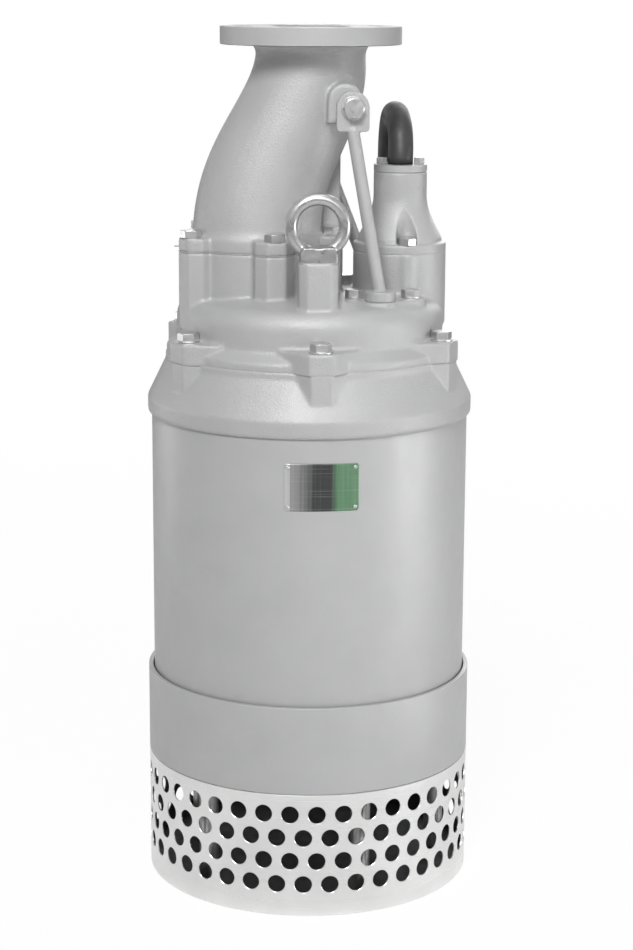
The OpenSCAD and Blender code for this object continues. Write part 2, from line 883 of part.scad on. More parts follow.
// Head cover casting with neck, terminal housing, lugs, pads and eye bosses
module head_cover() {
    eye_half = eye_boss_w / 2;
    color(paint) difference() {
        union() {
            dome_outside();
            for (i = [0:lug_count - 1]) rotate(-90 + i * 60)
                translate([0, 0, z_joint]) linear_extrude(lug_h) lug_plan(lug_r, lug_half);
            translate([0, 0, z_lug + boss_root]) linear_extrude(z_seam - z_lug - boss_root)
                base_outline();
            translate([gland_x, 0, 0]) cylinder_at(housing_r, z_lug + boss_root, z_cap - z_lug - boss_root);
            gland_bolts() cylinder_at(column_r, z_pad - 10, z_cap - z_pad + 10);
            translate([0, 0, z_pad - pad_deep]) linear_extrude(pad_deep) {
                pad_outline(rear_foot);
                mirror([0, 1]) pad_outline(pad_foot);
            }
            at_eyes() translate([0, 0, z_pad - pad_deep]) linear_extrude(z_eye - z_pad + pad_deep) polygon([
                [-eye_half, -eye_half + eye_chamfer], [-eye_half + eye_chamfer, -eye_half],
                [eye_half - eye_chamfer, -eye_half], [eye_half, -eye_half + eye_chamfer],
                [eye_half, eye_half - eye_chamfer], [eye_half - eye_chamfer, eye_half],
                [-eye_half + eye_chamfer, eye_half], [-eye_half, eye_half - eye_chamfer]
            ]);
        }
        dome_inside();
        translate([-elbow_shift, 0, z_pad - roof_t - over])
            cylinder(r = way_base_r, h = z_seam - z_pad + roof_t + 2 * over);
        cylinder_at(cup_in, z_joint - over, cup_h + over);
        translate([tower_x, 0, z_joint + cup_h - over])
            cylinder(r = tower_in, h = z_chamber - z_joint - cup_h + 2 * over);
        translate([gland_x, 0, z_chamber]) cylinder(r = chamber_r, h = z_cap - z_chamber + over);
        around(lug_count, lug_bolt_r, -90)
            translate([0, 0, z_joint - over]) cylinder(r = m12_r + bolt_gap, h = lug_h + 2 * over);
        around(lug_count, lug_bolt_r, -90) cylinder_at(washer_r + spot_gap, z_lug, washer_t + spot_gap);
        around(lug_count, lug_bolt_r, -90) cylinder_at(head_spot_r, z_lug, spot_h);
        base_bolts() cylinder_at(m12_r + fit, z_seam - thread_deep, thread_deep + over);
        gland_bolts() cylinder_at(m10_r + fit, z_cap - thread_deep, thread_deep + over);
        at_eyes() cylinder_at(eye_shank_r + fit, z_eye - eye_shank - 2, eye_shank + 2 + over);
        for (p = pad_small, side = [-1, 1]) translate([p[0], side * p[1], 0])
            cylinder_at(m10_r + fit, z_pad - small_deep, small_deep + over);
        translate([pad_foot[0], -pad_foot[1], 0])
            cylinder_at(m12_r + fit, z_pad - small_deep, small_deep + over);
        translate([rear_foot[0], rear_foot[1], 0])
            cylinder_at(m12_r + fit, z_pad - small_deep, small_deep + over);
    }
}

// Bolts through the six lugs into the cone casing
module head_cover_bolts() {
    color(zinc) around(lug_count, lug_bolt_r, -90) translate([0, 0, z_lug]) {
        cylinder(r = washer_r, h = 1.5);
        translate([0, 0, 1.5]) rotate(30) hex_bolt(m12_r, m12_af, m12_head, lug_h + lug_thread - 3);
    }
}

// Flat gasket under the elbow, with a small tab at the back left
module elbow_gasket() {
    color(black) translate([0, 0, z_seam]) linear_extrude(gasket_t) difference() {
        union() {
            base_outline();
            translate([-elbow_shift, 0]) rotate(172)
                translate([base_flange_r - 2, -tab_w / 2]) square([18, tab_w]);
        }
        translate([-elbow_shift, 0]) circle(r = way_base_r);
        translate([-elbow_shift, 0]) for (i = [0:boss_count - 1])
            rotate(boss_turn + i * 360 / boss_count) translate([base_pcr, 0])
                circle(r = m12_r + bolt_gap);
    }
}

// Position along the bend, 0 at the base flange and 1 under the discharge flange
function bend(z) = max(0, min(1, (z - z_base) / (z_bend_top - z_base)));

// Sideways place of the elbow's axis at a height
function bend_x(z) = let (v = pow(bend(z), elbow_skew)) -elbow_shift * (1 - 3 * v * v + 2 * v * v * v);

// Stretch along X that keeps the true radius where the axis leans
function lean(z) = sqrt(1 + pow((bend_x(z + 1) - bend_x(z - 1)) / 2, 2));

// Rise from 0 to 1 over the last stretch before a flange
function near(d) = pow(max(0, min(1, 1 - d / flare_len)), 2);

// Flare of the casting where it runs into the flange at each end
function flared(z) = base_flare * near(z - z_base) + top_flare * near(z_top - flange_t - z);

function body_r(z) = elbow_base_r + (elbow_top_r - elbow_base_r) * bend(z) + flared(z);
function way_r(z) = way_base_r + (bore_r + 0.4 - way_base_r) * pow(bend(z), 0.9);

// One ring of points of the elbow at a height
function elbow_ring(z, r) = [
    for (j = [0:elbow_sides - 1]) let (a = j * 360 / elbow_sides)
        [bend_x(z) + r * lean(z) * cos(a), r * sin(a), z]
];

// Faces of a skin over rings of n points, closed at both ends
function skin_faces(n, rings) = concat(
    [[for (j = [0:n - 1]) j]],
    [for (i = [0:rings - 2], j = [0:n - 1]) [i * n + j, (i + 1) * n + j, (i + 1) * n + (j + 1) % n]],
    [for (i = [0:rings - 2], j = [0:n - 1]) [i * n + j, (i + 1) * n + (j + 1) % n, i * n + (j + 1) % n]],
    [[for (j = [n - 1:-1:0]) (rings - 1) * n + j]]
);

// Cast body of the elbow before the water way is taken out
module elbow_body() {
    z0 = z_base - 4;
    z1 = z_top - flange_t + 3;
    heights = concat([z0, z_base],
        [for (k = [1:4]) z_base + flare_len * k / 4],
        [for (k = [1:elbow_steps]) z_base + flare_len
            + (z_bend_top - 2 - z_base - flare_len) * k / elbow_steps],
        [for (k = [1:4]) z_bend_top - 2 + (neck_len + 2) * k / 4], [z1]);
    polyhedron(
        points = [for (z = heights) each elbow_ring(z, body_r(z))],
        faces = skin_faces(elbow_sides, len(heights))
    );
}

// Water way through the elbow, up to the round discharge bore
module elbow_way() {
    z0 = z_seam + gasket_t - over;
    heights = [for (k = [0:elbow_steps]) z0 + (z_bend_top - z0) * k / elbow_steps];
    polyhedron(
        points = [for (z = heights) each elbow_ring(z, way_r(z))],
        faces = skin_faces(elbow_sides, len(heights))
    );
}

// Ear on the elbow for a stay bolt, on the side -Y: a lobe that runs back into the casting
module stay_ear(x, z) {
    left = x - ear_left;
    right = x + ear_right;
    intersection() {
        translate([0, 0, z - 2 * ear_r]) linear_extrude(4 * ear_r) polygon([
            [left, -lug_face], [right, -lug_face], [right, -lug_face + 2 * rib_t],
            [x - 4, -14], [left, -30]
        ]);
        translate([0, 0, z]) rotate([90, 0, 0]) linear_extrude(2 * lug_face) {
            translate([left + ear_r, ear_rise]) circle(r = ear_r);
            translate([left, -ear_drop]) square([ear_left + ear_right, ear_drop + ear_rise]);
        }
    }
}

// Discharge elbow: base flange, swept hollow body, rib, stay ears and bolted flange
module discharge_elbow() {
    z0 = z_seam + gasket_t;
    color(paint) difference() {
        union() {
            translate([0, 0, z0]) linear_extrude(base_flange_t) base_outline();
            elbow_body();
            cylinder_at(flange_r, z_top - flange_t, flange_t);
            translate([bend_x(z0), rib_y - rib_t / 2, z0 + base_flange_t / 2])
                cube([rib_x - bend_x(z0), rib_t, rib_h]);
            stay_ear(stay_top[0], stay_top[2]);
            mirror([0, 1, 0]) stay_ear(rear_top[0], rear_top[2]);
        }
        elbow_way();
        cylinder_at(bore_r, z_bend_top - 2, z_top - z_bend_top + 2 + over);
        around(flange_holes, flange_pcd / 2, 180 / flange_holes)
            cylinder_at(flange_hole_r, z_top - flange_t - over, flange_t + 2 * over);
        base_bolts() cylinder_at(m12_r + bolt_gap, z0 - over, base_flange_t + 2 * over);
        translate([stay_top[0], -lug_face - over, stay_top[2]]) rotate([-90, 0, 0])
            cylinder(r = m12_r + fit, h = stay_thread + over);
        translate([rear_top[0], lug_face + over, rear_top[2]]) rotate([90, 0, 0])
            cylinder(r = m12_r + fit, h = stay_thread + over);
    }
}

// Bolts through the elbow's base into the neck
module elbow_bolts() {
    color(zinc) base_bolts() translate([0, 0, z_base])
        rotate(30) hex_bolt(m12_r, m12_af, m12_head, base_flange_t + gasket_t + thread_deep - 3);
}

// Eye plate outline: round top, square foot with rounded corners
module eye_plate() {
    round_r = 4;
    difference() {
        union() {
            circle(r = eye_r);
            translate([-eye_r, -eye_drop + round_r]) square([2 * eye_r, eye_drop - round_r]);
            translate([-eye_r + round_r, -eye_drop]) square([2 * (eye_r - round_r), eye_drop]);
            for (side = [-1, 1]) translate([side * (eye_r - round_r), -eye_drop + round_r])
                circle(r = round_r);
        }
        circle(r = m12_r + bolt_gap);
    }
}

// Round rod between two points
module rod(a, b, r) {
    d = b - a;
    translate(a) rotate([0, acos(d[2] / norm(d)), atan2(d[1], d[0])]) cylinder(r = r, h = norm(d));
}

// Stay with eye plate, slanted rod, foot disc and threaded end
module stay(top, foot) {
    start = top + [0, 0, -eye_drop + 3];
    finish = [foot[0], foot[1], z_pad + foot_h / 2];
    color(paint) union() {
        translate(top) rotate([90, 0, 0]) linear_extrude(eye_plate_t, center = true) eye_plate();
        rod(start, finish, rod_r);
        translate([foot[0], foot[1], z_pad]) cylinder(r = foot_r, h = foot_h);
        translate([foot[0], foot[1], z_pad - small_deep + 1]) cylinder(r = m12_r, h = small_deep);
    }
}

module front_stay() {
    stay(stay_top, [pad_foot[0], -pad_foot[1]]);
}

module rear_stay() {
    stay(rear_top, rear_foot);
}

// Copies the children to both stay bolts, Z pointing outwards from the eye plate
module at_stay_bolts() {
    translate(stay_top + [0, -eye_plate_t / 2, 0]) rotate([90, 0, 0]) children();
    translate(rear_top + [0, eye_plate_t / 2, 0]) rotate([-90, 0, 0]) children();
}

module stay_bolts() {
    color(zinc) at_stay_bolts() translate([0, 0, washer_t])
        hex_bolt(m12_r, m12_af, m12_head, washer_t + eye_plate_t + stay_thread - 3);
}

module stay_washers() {
    color(zinc) at_stay_bolts() tube(washer_r, m12_r + fit, washer_t);
}

// Lifting eye: ring, faceted foot and threaded shank
module eyebolt() {
    z_ring = z_eye + eye_foot_h - eye_sink + eye_mid_r;
    union() {
        translate([0, 0, z_ring]) rotate([90, 0, 0]) rotate_extrude()
            translate([eye_mid_r, 0]) circle(r = eye_wire_r);
        translate([0, eye_foot_d / 2, z_eye]) rotate([90, 0, 0]) linear_extrude(eye_foot_d)
            difference() {
                polygon([
                    [-eye_foot_w / 2, 0], [eye_foot_w / 2, 0], [eye_foot_w / 2, eye_foot_side],
                    [eye_foot_top / 2, eye_foot_h], [-eye_foot_top / 2, eye_foot_h],
                    [-eye_foot_w / 2, eye_foot_side]
                ]);
                translate([0, z_ring - z_eye]) circle(r = eye_hole_r);
            }
        cylinder_at(eye_shank_r, z_eye - eye_shank, eye_shank + 4);
    }
}

module front_eyebolt() {
    color(zinc) translate([0, -eye_y, 0]) eyebolt();
}

module rear_eyebolt() {
    color(zinc) translate([0, eye_y, 0]) eyebolt();
}

// Gland cap: flared bell with two bolt pockets and a stepped cable bore
module gland_cap() {
    z_flare = z_cap + cap_base_t;
    z_neck = z_cap + cap_flare_h;
    rise = z_neck - z_flare - 4;
    color(paint) translate([gland_x, 0, 0]) difference() {
        rotate_extrude() polygon(concat(
            [[0, z_cap], [cap_base_r, z_cap], [cap_base_r, z_flare], [cap_flare_r, z_flare]],
            [for (k = [0:8]) let (s = k / 8)
                [cap_flare_r + (cap_neck_r - cap_flare_r) * (1 - (1 - s) * (1 - s) * (1 + s * 0.6)),
                 z_flare + 4 + rise * s]],
            [[cap_neck_r, z_cap + cap_h - 0.6], [cap_neck_r - 0.6, z_cap + cap_h], [0, z_cap + cap_h]]
        ));
        translate([0, 0, z_cap - over]) cylinder(r = chamber_r - 4, h = 13 + over);
        translate([0, 0, z_cap + 11.9]) cylinder(r1 = chamber_r - 4, r2 = cable_r + 1, h = 14.2);
        cylinder_at(cable_r + 0.5, z_cap, cap_h + over);
        cylinder_at(grommet_r + fit, z_cap + grommet_z, cap_h);
        around(2, gland_pcr, gland_turn) {
            cylinder_at(pocket_r, z_flare, cap_h);
            cylinder_at(m10_r + bolt_gap, z_cap - over, cap_base_t + 2 * over);
        }
        around(2, clamp_pcr) cylinder_at(m6_r + fit, z_cap + cap_h - 16, 20);
    }
}

module gland_cap_bolts() {
    color(zinc) gland_bolts() translate([0, 0, z_cap + cap_base_t])
        hex_bolt(m10_r, m10_af, m10_head, cap_base_t + thread_deep - 3);
}

// Rubber grommet squeezed round the cable
module cable_grommet() {
    color(black) translate([gland_x, 0, 0])
        tube(grommet_r, cable_r + fit, cap_h - grommet_z, z_cap + grommet_z);
}

// Ring that presses the grommet down
module gland_clamp_ring() {
    color(paint) translate([gland_x, 0, z_cap + cap_h]) difference() {
        cylinder(r = cap_neck_r, h = clamp_t);
        translate([0, 0, -over]) cylinder(r = cable_r + 0.5, h = clamp_t + 2 * over);
        around(2, clamp_pcr) translate([0, 0, -over])
            cylinder(r = m6_r + fit, h = clamp_t + 2 * over);
    }
}

module gland_clamp_bolts() {
    color(paint) translate([gland_x, 0, z_cap + cap_h + clamp_t]) around(2, clamp_pcr)
        rotate(30) hex_bolt(m6_r, m6_af, m6_head, clamp_t + 14);
}

// The stretch of cable held inside the gland
module cable_entry() {
    color(black) translate([gland_x, 0, 0])
        cylinder_at(cable_r, z_cap + 8, cap_h + clamp_t - 8);
}

// Board with terminal posts in the housing under the gland
module terminal_board() {
    color("#7a4a2a") translate([gland_x, 0, z_chamber]) difference() {
        cylinder(r = chamber_r - fit, h = 8);
        translate([0, 0, -over]) cylinder(r = 10, h = 8 + 2 * over);
    }
    color(zinc) translate([gland_x, 0, z_chamber + 8]) around(3, 22, 30) cylinder(r = 3, h = 12);
}

// Small bolts on the pads beside the stay feet
module housing_bolts() {
    color(zinc) for (p = pad_small, side = [-1, 1]) translate([p[0], side * p[1], z_pad]) {
        cylinder(r = small_washer_r, h = small_washer_t);
        translate([0, 0, small_washer_t])
            rotate(side * 12) hex_bolt(m10_r, m10_af, m10_head, small_deep + small_washer_t - 1);
    }
}

// Curved nameplate with rounded corners, lying on the casing
module nameplate() {
    z0 = z_rim - plate_drop;
    round_r = 3;
    color(steel) intersection() {
        tube(casing_r + plate_t, casing_r + fit, plate_h + 10, z0 - plate_h / 2 - 5);
        translate([0, -casing_r + 20, z0]) rotate([90, 0, 0]) linear_extrude(40) {
            square([plate_w, plate_h - 2 * round_r], center = true);
            square([plate_w - 2 * round_r, plate_h], center = true);
            for (sx = [-1, 1], sy = [-1, 1])
                translate([sx * (plate_w / 2 - round_r), sy * (plate_h / 2 - round_r)])
                    circle(r = round_r);
        }
    }
}

// Round headed rivets in the nameplate's corners
module nameplate_rivets() {
    z0 = z_rim - plate_drop;
    turn = asin((plate_w / 2 - 4) / casing_r);
    color(zinc) for (sx = [-1, 1], sz = [-1, 1]) rotate(-90 + sx * turn)
        translate([casing_r + plate_t, 0, z0 + sz * (plate_h / 2 - 4)]) rotate([0, 90, 0])
            cylinder(r1 = 2.2, r2 = 1.4, h = 1);
}

// Stepped shaft from the impeller thread to the upper bearing
module shaft() {
    z_end = z_core + stator_len + end_ring_h;
    color(steel) difference() {
        union() {
            cylinder_at(thread_r, hub_bottom - nut_h - 1, nut_h + 2);
            cylinder_at(end_r, hub_bottom, hub_top - hub_bottom + 1);
            cylinder_at(seal_r, hub_top, low_bear_z - hub_top);
            cylinder_at(low_bear_in, z_frame - ledge_h + 4, low_bear_z + low_bear_w - z_frame + ledge_h - 3);
            cylinder_at(collar_r, low_bear_z + low_bear_w, 6);
            cylinder_at(shaft_r, low_bear_z + low_bear_w + 5, z_end - low_bear_z - low_bear_w - 5);
            cylinder_at(shaft_r - 4, z_end - over, up_bear_z - z_end + over);
            cylinder_at(up_bear_in, up_bear_z - over, up_bear_w + 4);
        }
        translate([end_r - key_h / 2, -key_w / 2, key_z]) cube([key_h, key_w, key_len]);
    }
}

// Semi open impeller with curved vanes below its disc
module impeller() {
    color(dark) difference() {
        union() {
            translate([0, 0, z_vane]) linear_extrude(vane_h + over)
                for (i = [0:vane_count - 1]) rotate(i * 360 / vane_count)
                    blade(vane_arc, vane_in_r, impeller_r - 0.5, vane_in_a, vane_t);
            cylinder_at(impeller_r, z_shroud, shroud_t);
            translate([0, 0, hub_bottom])
                cylinder(r1 = hub_r - 4, r2 = hub_r + 8, h = z_shroud - hub_bottom + over);
            cylinder_at(hub_r, z_shroud, hub_top - z_shroud);
        }
        cylinder_at(end_r, hub_bottom - over, hub_top - hub_bottom + 2 * over);
        translate([end_r - key_h / 2, -key_w / 2, key_z]) cube([key_h, key_w, hub_top - key_z + over]);
    }
}

module impeller_nut() {
    color(zinc) translate([0, 0, hub_bottom - nut_h]) hex_nut(nut_af, nut_h, thread_r);
}

module impeller_key() {
    color(steel) translate([end_r - key_h / 2, -key_w / 2, key_z]) cube([key_h, key_w, key_len]);
}

// Laminated rotor core
module rotor_core() {
    color(steel) tube(rotor_r, shaft_r, stator_len, z_core);
}

// Cast rings that short the rotor bars at both ends
module rotor_end_rings() {
    color(zinc) for (z = [z_core - end_ring_h, z_core + stator_len])
        tube(rotor_r - 3, shaft_r + 10, end_ring_h, z);
}

function unit(v) = v / norm(v);

// Direction of the route at one of its points
function route_dir(p, i) = unit(p[min(i + 1, len(p) - 1)] - p[max(i - 1, 0)]);

// Ring of points round a route point, in the plane across the route
function cable_ring(p, i, r, n) =
    let (t = i == 0 ? [0, 0, 1] : route_dir(p, i), u = unit(cross(t, [1, 0, 0])), w = cross(t, u))
    [for (j = [0:n - 1]) p[i] + r * (cos(j * 360 / n) * u + sin(j * 360 / n) * w)];

// Free stretch of the cable from the gland to the coil
module power_cable() {
    n = 12;
    color(black) polyhedron(
        points = [for (i = [0:len(route) - 1]) each cable_ring(route, i, cable_r, n)],
        faces = skin_faces(n, len(route))
    );
}

// Outer shape of the coiled cable behind the pump
module cable_coil() {
    color(black) translate([coil_x, coil_y, coil_lift])
        tube(coil_mid + coil_half, coil_mid - coil_half, coil_h_all);
}

// Straps round the coil
module coil_ties() {
    gap = 0.3;
    color(dark) translate([coil_x, coil_y, 0]) for (a = [20, 140, 260]) rotate(a)
        translate([0, tie_w / 2, 0]) rotate([90, 0, 0]) linear_extrude(tie_w) difference() {
            translate([coil_mid - coil_half - gap - tie_t, 0])
                square([2 * coil_half + 2 * gap + 2 * tie_t, coil_lift + coil_h_all + gap + tie_t]);
            translate([coil_mid - coil_half - gap, tie_t])
                square([2 * coil_half + 2 * gap, coil_lift + coil_h_all + gap - tie_t]);
        }
}

// Free end of the cable on top of the coil, with four cores and their ring terminals
module cable_tail() {
    a0 = 40;
    a1 = 95;
    z = coil_lift + coil_h_all + cable_r;
    color(black) translate([coil_x, coil_y, z]) {
        rotate(a0) rotate_extrude(angle = a1 - a0) translate([coil_mid, 0]) circle(r = cable_r);
        rotate(a1) translate([coil_mid, 0, 0]) for (k = [0:3])
            rotate([-90, 0, 0]) translate([k * 7 - 10.5, cable_r - 3.2, -1]) {
                cylinder(r = 3, h = 46);
                translate([-3, 1.6, 44]) cube([6, 1.4, 14]);
                translate([0, 3, 62]) rotate([90, 0, 0]) difference() {
                    cylinder(r = 6, h = 1.4);
                    translate([0, 0, -over]) cylinder(r = 3.2, h = 1.4 + 2 * over);
                }
            }
    }
}

strainer();
base_plate();
stay_bars();
base_screws();
suction_cover();
suction_cover_bolts();
casing_sleeve();
outer_casing();
casing_cone();
casing_o_ring();
pump_casing();
oil_casing();
motor_frame();
frame_studs();
frame_stud_nuts();
stator_core();
stator_windings();
lower_bearing_housing();
upper_bearing_housing();
lower_bearing_outer();
upper_bearing_outer();
seal_seat();
head_cover();
head_cover_bolts();
elbow_gasket();
discharge_elbow();
elbow_bolts();
front_stay();
rear_stay();
stay_bolts();
stay_washers();
front_eyebolt();
rear_eyebolt();
gland_cap();
gland_cap_bolts();
cable_grommet();
gland_clamp_ring();
gland_clamp_bolts();
cable_entry();
terminal_board();
housing_bolts();
nameplate();
nameplate_rivets();
shaft();
impeller();
impeller_nut();
impeller_key();
seal_ring();
lower_bearing_inner();
upper_bearing_inner();
rotor_core();
rotor_end_rings();
lower_bearing_cage();
upper_bearing_cage();
power_cable();
cable_coil();
coil_ties();
cable_tail();
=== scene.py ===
import json
import math
import bmesh
import bpy
import numpy as np
from mathutils import Matrix, Vector


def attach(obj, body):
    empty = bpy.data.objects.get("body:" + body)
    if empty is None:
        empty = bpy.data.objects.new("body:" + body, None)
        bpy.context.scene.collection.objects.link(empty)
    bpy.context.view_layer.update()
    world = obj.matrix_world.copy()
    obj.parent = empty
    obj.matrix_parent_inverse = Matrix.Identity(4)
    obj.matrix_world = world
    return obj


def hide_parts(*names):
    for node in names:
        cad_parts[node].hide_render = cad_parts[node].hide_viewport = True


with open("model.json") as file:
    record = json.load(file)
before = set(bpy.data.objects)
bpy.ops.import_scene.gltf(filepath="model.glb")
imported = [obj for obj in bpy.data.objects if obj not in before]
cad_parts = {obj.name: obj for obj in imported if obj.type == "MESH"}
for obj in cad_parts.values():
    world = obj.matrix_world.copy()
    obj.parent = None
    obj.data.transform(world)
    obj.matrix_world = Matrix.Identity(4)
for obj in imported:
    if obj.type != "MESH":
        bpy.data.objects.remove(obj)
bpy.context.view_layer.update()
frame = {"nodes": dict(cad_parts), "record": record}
record = frame["record"]
slotOf = {entry["node"]: entry["material_slot"] for entry in record["subparts"]}
bodyOf = {node: body for body, nodes in record["behaviour"]["bodies"].items() for node in nodes}
finishes = {}


# Camera: the photograph's viewpoint, its focal length in the picture's own pixels, angles in radians

view = {"imageHeight": 950, "focalPixels": 2258.8, "sensor": 36, "distance": 2.3339, "height": 0.9393,
        "tilt": 0.2169, "roll": 0.00492, "yaw": 0.00335, "pumpTurn": math.radians(4.3)}


def makeCamera():
    # looks along +Y, turned by yaw, tipped down by tilt, rolled, and carried round by the pump's own turn
    flat = np.array([math.sin(view["yaw"]), math.cos(view["yaw"]), 0])
    side = np.array([math.cos(view["yaw"]), -math.sin(view["yaw"]), 0])
    ahead = math.cos(view["tilt"]) * flat - math.sin(view["tilt"]) * np.array([0, 0, 1])
    rise = math.sin(view["tilt"]) * flat + math.cos(view["tilt"]) * np.array([0, 0, 1])
    right = math.cos(view["roll"]) * side + math.sin(view["roll"]) * rise
    up = math.cos(view["roll"]) * rise - math.sin(view["roll"]) * side
    turn = Matrix.Rotation(-view["pumpTurn"], 4, "Z")
    axes = Matrix((right, up, -ahead)).transposed().to_4x4()
    camera = bpy.data.objects.new("camera", bpy.data.cameras.new("camera"))
    camera.data.sensor_width = view["sensor"]
    camera.data.lens = view["focalPixels"] * view["sensor"] / view["imageHeight"]
    camera.matrix_world = turn @ Matrix.Translation((0, -view["distance"], view["height"])) @ axes
    bpy.context.scene.collection.objects.link(camera)
    bpy.context.scene.camera = camera
    print("camera placed")


# What the frame says

def camel(words):
    # head_cover_bolts becomes headCoverBolts
    first, *rest = words.split("_")
    return first + "".join(word.capitalize() for word in rest)


def ringOf(node):
    # smallest and largest distance from the pump's axis, lowest and highest level of a node's points
    mesh = frame["nodes"][node].data
    spots = np.empty(3 * len(mesh.vertices))
    mesh.vertices.foreach_get("co", spots)
    x, y, z = spots.reshape(-1, 3).T
    reach = np.hypot(x, y)
    return [round(float(size), 6) for size in (reach.min(), reach.max(), z.min(), z.max())]


def footOf(node):
    return ringOf(node)[2]


def topOf(node):
    return ringOf(node)[3]


# Shapes from numbers

def addObject(name, mesh):
    piece = bpy.data.objects.new(name, mesh)
    bpy.context.scene.collection.objects.link(piece)
    return piece


def addPiece(name, points, faces, smooth=True):
    # a mesh object at the origin from an array of points and a list or array of faces
    mesh = bpy.data.meshes.new(name)
    mesh.from_pydata(np.asarray(points).tolist(), [], [tuple(int(i) for i in face) for face in faces])
    mesh.polygons.foreach_set("use_smooth", [smooth] * len(mesh.polygons))
    mesh.update()
    return addObject(name, mesh)


def outward(piece):
    # faces turned outwards
    work = bmesh.new()
    work.from_mesh(piece.data)
    bmesh.ops.recalc_face_normals(work, faces=work.faces)
    work.to_mesh(piece.data)
    work.free()
    return piece


def gridFaces(rows, columns, closeRows=False, closeColumns=True, start=0):
    # quads between neighbouring rows and columns of a grid of points, wrapped where it closes
    i = np.arange(rows if closeRows else rows - 1)
    j = np.arange(columns if closeColumns else columns - 1)
    i, j = np.meshgrid(i, j, indexing="ij")
    i2, j2 = (i + 1) % rows, (j + 1) % columns
    quads = np.stack([i * columns + j, i * columns + j2, i2 * columns + j2, i2 * columns + j], -1)
    return quads.reshape(-1, 4) + start


def cappedFaces(rows, columns, start=0):
    # tube faces with a polygon on each end
    faces = [tuple(face) for face in gridFaces(rows, columns, False, True, start)]
    faces.append(tuple(start + i for i in reversed(range(columns))))
    faces.append(tuple(start + (rows - 1) * columns + i for i in range(columns)))
    return faces


def roundWall(radius, angle, height):
    # points at a radius and an angle about an upright axis, and at a level
    spots = np.broadcast_arrays(radius * np.cos(angle), radius * np.sin(angle), height)
    return np.stack(spots, -1).reshape(-1, 3)


def roundCorners(corners, radii, steps=5):
    # closed outline with each corner replaced by a short curve that starts and ends radius away from it
    corners = np.asarray(corners, float)
    before = np.roll(corners, 1, 0) - corners
    after = np.roll(corners, -1, 0) - corners
    cut = np.asarray(radii, float)[:, None]
    start = corners + before / np.linalg.norm(before, axis=1)[:, None] * cut
    end = corners + after / np.linalg.norm(after, axis=1)[:, None] * cut
    t = np.linspace(0, 1, steps)[None, :, None]
    curve = (1 - t) ** 2 * start[:, None] + 2 * t * (1 - t) * corners[:, None] + t ** 2 * end[:, None]
    return curve.reshape(-1, 2)


def lathe(name, outline, segments=240):
    # closed outline of (radius, height) carried once round the pump's axis
    turn = np.linspace(0, 2 * np.pi, segments, endpoint=False)[:, None]
    points = roundWall(outline[None, :, 0], turn, outline[None, :, 1])
    return outward(addPiece(name, points, gridFaces(segments, len(outline), True, True)))


def tubeAlong(path, radius, sides, lean):
    # rings of points round a path: each ring lies across the path, its first axis taken from lean
    along = np.gradient(path, axis=0)
    along /= np.linalg.norm(along, axis=1)[:, None]
    first = lean - (lean * along).sum(1)[:, None] * along
    first /= np.linalg.norm(first, axis=1)[:, None]
    second = np.cross(along, first)
    turn = np.linspace(0, 2 * np.pi, sides, endpoint=False)
    ring = first[:, None] * np.cos(turn)[None, :, None] + second[:, None] * np.sin(turn)[None, :, None]
    return (path[:, None] + ring * radius).reshape(-1, 3)


def evenly(spots, step):
    # the same line with its points at even steps
    run = np.concatenate([[0], np.cumsum(np.linalg.norm(np.diff(spots, axis=0), axis=1))])
    marks = np.linspace(0, run[-1], max(2, int(round(run[-1] / step)) + 1))
    return np.stack([np.interp(marks, run, spots[:, i]) for i in range(3)], 1)


def curveThrough(knots, step, perKnot=40):
    # smooth curve through the knots (each stretch a cubic with its neighbours' slope), at even steps
    gap = np.linalg.norm(np.diff(knots, axis=0), axis=1) ** 0.5
    time = np.concatenate([[0], np.cumsum(gap)])
    slope = np.gradient(knots, time, axis=0)
    fine = np.linspace(0, time[-1], perKnot * len(knots))
    k = np.clip(np.searchsorted(time, fine, "right") - 1, 0, len(knots) - 2)
    width = (time[k + 1] - time[k])[:, None]
    t = (fine - time[k])[:, None] / width
    spots = ((2 * t ** 3 - 3 * t ** 2 + 1) * knots[k] + (t ** 3 - 2 * t ** 2 + t) * width * slope[k]
             + (3 * t ** 2 - 2 * t ** 3) * knots[k + 1] + (t ** 3 - t ** 2) * width * slope[k + 1])
    return evenly(spots, step)


# Pieces taken from the frame's solids

solids = {"merge": 2e-6, "flat": math.radians(0.6), "sharp": math.radians(28), "lidSides": 96,
          "seamReach": 1e-4, "relax": 0.5}


def solidCopy(node):
    # the node's triangles as one closed mesh
    work = bmesh.new()
    work.from_mesh(frame["nodes"][node].data)
    work.transform(frame["nodes"][node].matrix_world)
    bmesh.ops.remove_doubles(work, verts=work.verts, dist=solids["merge"])
    return work


def workPiece(name, work):
    # the finished work as an object
    mesh = bpy.data.meshes.new(name)
    work.to_mesh(mesh)
    work.free()
    return addObject(name, mesh)


def freeze(piece):
    # the piece with its modifiers worked into its mesh
    ready = bpy.data.meshes.new_from_object(piece.evaluated_get(bpy.context.evaluated_depsgraph_get()))
    piece.modifiers.clear()
    old = piece.data
    piece.data = ready
    piece.data.name = piece.name
    bpy.data.meshes.remove(old)
    return piece


def settle(piece, node, look=None, alsoFor=()):
    # the piece stands for the node, rides with it and takes its finish, or the look that is named
    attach(piece, bodyOf[node])
    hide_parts(node, *alsoFor)
    piece.data.materials.clear()
    piece.data.materials.append(finishes[look or slotOf[node]])
    return piece


